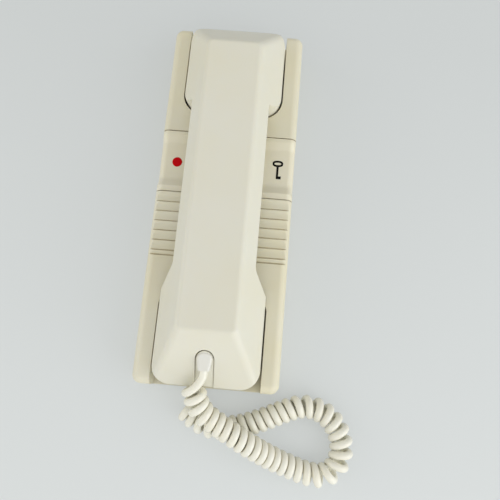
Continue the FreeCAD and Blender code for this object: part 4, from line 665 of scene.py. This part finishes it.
class INTERCOM_OT_mouldings(bpy.types.Operator):
    """Give the casing, keys, handset and wall plate their aged plastics"""
    bl_idname = "intercom.mouldings"
    bl_label = "Plastic mouldings"

    def execute(self, context):
        tone = colours()
        give(aged_abs("ABS casing, moulded and yellowed", list(tone.casing), 0.45, 0.45, 0.75, 0.9),
             "front_casing")
        give(aged_abs("ABS handset, moulded and yellowed", list(tone.handset), 0.4, 0.45, 0.4, 0.5),
             "handset_shell", "handset_cover")
        give(aged_abs("ABS keys, moulded and handled", list(tone.keys), 0.38, 0.45, 0.5, 0.7),
             "door_key", "call_key")
        give(aged_abs("ABS wall plate, moulded grey", list(tone.plate), 0.5, 0.6, 0.3, 0.5),
             "back_plate", "hook_lever")
        give(soft_vinyl("PVC boot, moulded", list(tone.boot), 0.36, 0.25),
             "cord_boot", "base_cord_gland")
        for name in ("cord_handset_lead", "cord_curls", "cord_base_tail"):
            give(soft_vinyl("PVC cord, hidden", list(tone.cord), 0.36, 0.4), name)
        return {"FINISHED"}


class INTERCOM_OT_metal_parts(bpy.types.Operator):
    """Give the screws, pins, springs and pads their metals"""
    bl_idname = "intercom.metal_parts"
    bl_label = "Metal parts"

    def execute(self, context):
        give(zinc_steel("Steel screws, zinc plated", linear("#B9BBBA"), 0.24),
             "casing_screws", "board_screws", "handset_screws", "terminal_screws")
        give(zinc_steel("Steel pins, ground", linear("#C2C3C2"), 0.16),
             "key_pivot_pins", "hook_pivot_pin")
        give(spring_bronze("Phosphor bronze strip", linear("#C79A62")),
             "door_contact", "call_contact", "hook_contact", "contact_pads")
        return {"FINISHED"}


class INTERCOM_OT_board_parts(bpy.types.Operator):
    """Give the circuit board, its parts and the capsules their finishes"""
    bl_idname = "intercom.board_parts"
    bl_label = "Board and capsules"

    def execute(self, context):
        give(paper_laminate("Phenolic paper laminate", linear("#A8793F")), "circuit_board")
        give(small_moulding("Nylon terminal block, moulded green", linear("#3E7A4E"), 0.5),
             "terminal_block")
        give(small_moulding("Sounder case, moulded black", linear("#1E1E1F"), 0.45), "buzzer")
        give(small_moulding("Capacitor sleeves, shrunk vinyl", linear("#23304E"), 0.3), "capacitors")
        give(small_moulding("Resistor lacquer, dipped beige", linear("#C8AE84"), 0.45), "resistors")
        give(small_moulding("Capsule case, spun and lacquered", linear("#8E9091"), 0.4),
             "receiver_capsule", "microphone_capsule")
        give(small_moulding("Rubber gaskets, moulded black", linear("#1B1B1C"), 0.75),
             "receiver_gasket", "microphone_gasket")
        return {"FINISHED"}


# Studio

class INTERCOM_OT_stage(bpy.types.Operator):
    """Lay the pale floor and set the soft lamps"""
    bl_idname = "intercom.stage"
    bl_label = "Studio"

    def execute(self, context):
        self.floor()
        self.lamps(context)
        self.world(context)
        return {"FINISHED"}

    def floor(self):
        work = bmesh.new()
        bmesh.ops.create_grid(work, x_segments=8, y_segments=8, size=sizes().room)
        material, tree = new_material("Painted board, pale")
        place = add(tree, "ShaderNodeTexCoord")
        # a faint unevenness of the paint, about 120 mm across
        cloud = add(tree, "ShaderNodeTexNoise", {"Scale": 1 / (120 * MM), "Detail": 2.0},
                    {"Vector": place.outputs["Object"]})
        tone = list(colours().floor)
        mix = add(tree, "ShaderNodeMix", {6: shade(tone, 0.985), 7: shade(tone, 1.015)},
                  {0: cloud.outputs["Fac"]}, data_type="RGBA")
        paint = add(tree, "ShaderNodeBsdfPrincipled", {"Roughness": 0.6}, {"Base Color": mix.outputs[2]})
        # half of what is seen is the board's own pale tone, so the shadows stay light,
        # and on that tone a painted fall of light makes the board lighter before the mouth end than behind
        # the ear end
        way = add(tree, "ShaderNodeSeparateXYZ", links={"Vector": place.outputs["Object"]})
        level = add(tree, "ShaderNodeMapRange", {"From Min": -200 * MM, "From Max": 130 * MM},
                    {"Value": way.outputs["Y"]})
        # painted light: the glow runs from 12% lighter at the mouth end to 10% darker past the ear end
        pale = add(tree, "ShaderNodeMix", {6: shade(tone, 1.12), 7: shade(tone, 0.9)},
                   {0: level.outputs["Result"]}, data_type="RGBA")
        backdrop_with_painted_falloff = add(tree, "ShaderNodeEmission", {"Strength": 1.0}, {"Color": pale.outputs[2]})
        path = add(tree, "ShaderNodeLightPath")
        seen = add(tree, "ShaderNodeMath", links={0: path.outputs["Is Camera Ray"],
                                                  1: path.outputs["Is Glossy Ray"]},
                   operation="MAXIMUM")
        share = add(tree, "ShaderNodeMath", {1: 0.5}, {0: seen.outputs["Value"]}, operation="MULTIPLY")
        shader = add(tree, "ShaderNodeMixShader", links={0: share.outputs["Value"],
                                                         1: paint.outputs["BSDF"],
                                                         2: backdrop_with_painted_falloff.outputs["Emission"]})
        floor = mesh_piece("floor", work, finish_material(material, shader))
        floor.location = (0.0, 0.0, -0.2 * MM)

    def lamps(self, context):
        # daylight from the right is a trace cooler than the light off the wall
        for name, place, aim, width, power, tone in (
                ("window_lamp", (1.10, -0.42, 0.50), (0.02, -0.02, 0.02), 1.3, 8.8, "#FAFCFF"),
                ("wall_lamp", (-1.15, -0.12, 0.52), (0.0, -0.02, 0.02), 1.0, 3.3, "#FFFDF7")):
            data = bpy.data.lights.new(name, "AREA")
            data.shape = "SQUARE"
            data.size = width
            data.energy = power
            data.color = linear(tone)[:3]
            lamp = bpy.data.objects.new(name, data)
            lamp.location = place
            lamp.rotation_euler = (Vector(aim) - Vector(place)).to_track_quat("-Z", "Y").to_euler()
            context.scene.collection.objects.link(lamp)

    def world(self, context):
        world = bpy.data.worlds.new("studio_walls")
        world.use_nodes = True
        tree = world.node_tree
        tree.nodes.clear()
        path = add(tree, "ShaderNodeLightPath")
        seen = add(tree, "ShaderNodeMath", links={0: path.outputs["Is Camera Ray"],
                                                  1: path.outputs["Is Transmission Ray"]},
                   operation="MAXIMUM")
        # the room is a little darker past the ear end
        place = add(tree, "ShaderNodeTexCoord")
        way = add(tree, "ShaderNodeSeparateXYZ", links={"Vector": place.outputs["Generated"]})
        level = add(tree, "ShaderNodeMapRange", {"From Min": -1.0, "From Max": 1.0,
                                                 "To Min": 1.0, "To Max": 0.46},
                    {"Value": way.outputs["Y"]})
        light = add(tree, "ShaderNodeBackground", {"Color": linear("#FFFFFF")},
                    {"Strength": level.outputs["Result"]})
        wall = add(tree, "ShaderNodeBackground", {"Color": linear("#DCDFE0"), "Strength": 1.0})
        mix = add(tree, "ShaderNodeMixShader", links={0: seen.outputs["Value"],
                                                      1: light.outputs["Background"],
                                                      2: wall.outputs["Background"]})
        add(tree, "ShaderNodeOutputWorld", links={"Surface": mix.outputs["Shader"]})
        context.scene.world = world


# Panel and run

PIECES = (INTERCOM_OT_camera, INTERCOM_OT_curly_cord, INTERCOM_OT_stage, INTERCOM_OT_mouldings,
          INTERCOM_OT_metal_parts, INTERCOM_OT_board_parts, INTERCOM_OT_slot_plate, INTERCOM_OT_call_dot,
          INTERCOM_OT_key_picture)


class INTERCOM_PT_panel(bpy.types.Panel):
    """Sizes, colours and steps of the intercom"""
    bl_idname = "INTERCOM_PT_panel"
    bl_label = "Desk Intercom"
    bl_space_type = "VIEW_3D"
    bl_region_type = "UI"
    bl_category = "Intercom"

    def draw(self, context):
        group = context.scene.intercom
        for part in (group.sizes, group.colours):
            box = self.layout.box()
            for field in part.__annotations__:
                box.prop(part, field)
        for piece in PIECES:
            self.layout.operator(piece.bl_idname)


CLASSES = (IntercomSizes, IntercomColours, IntercomScene) + PIECES + (INTERCOM_PT_panel,)


def register():
    """Registers the classes and hangs the settings on the scene."""
    for item in CLASSES:
        bpy.utils.register_class(item)
    bpy.types.Scene.intercom = PointerProperty(name="Intercom", description="Intercom settings",
                                               type=IntercomScene)


def unregister():
    """Takes the settings and the classes away again."""
    del bpy.types.Scene.intercom
    for item in reversed(CLASSES):
        bpy.utils.unregister_class(item)


def main():
    """Makes every piece in order."""
    register()
    bpy.context.scene.view_settings.view_transform = "Standard"
    for piece in PIECES:
        group, name = piece.bl_idname.split(".")
        getattr(getattr(bpy.ops, group), name)()


if __name__ == "__main__":
    main()
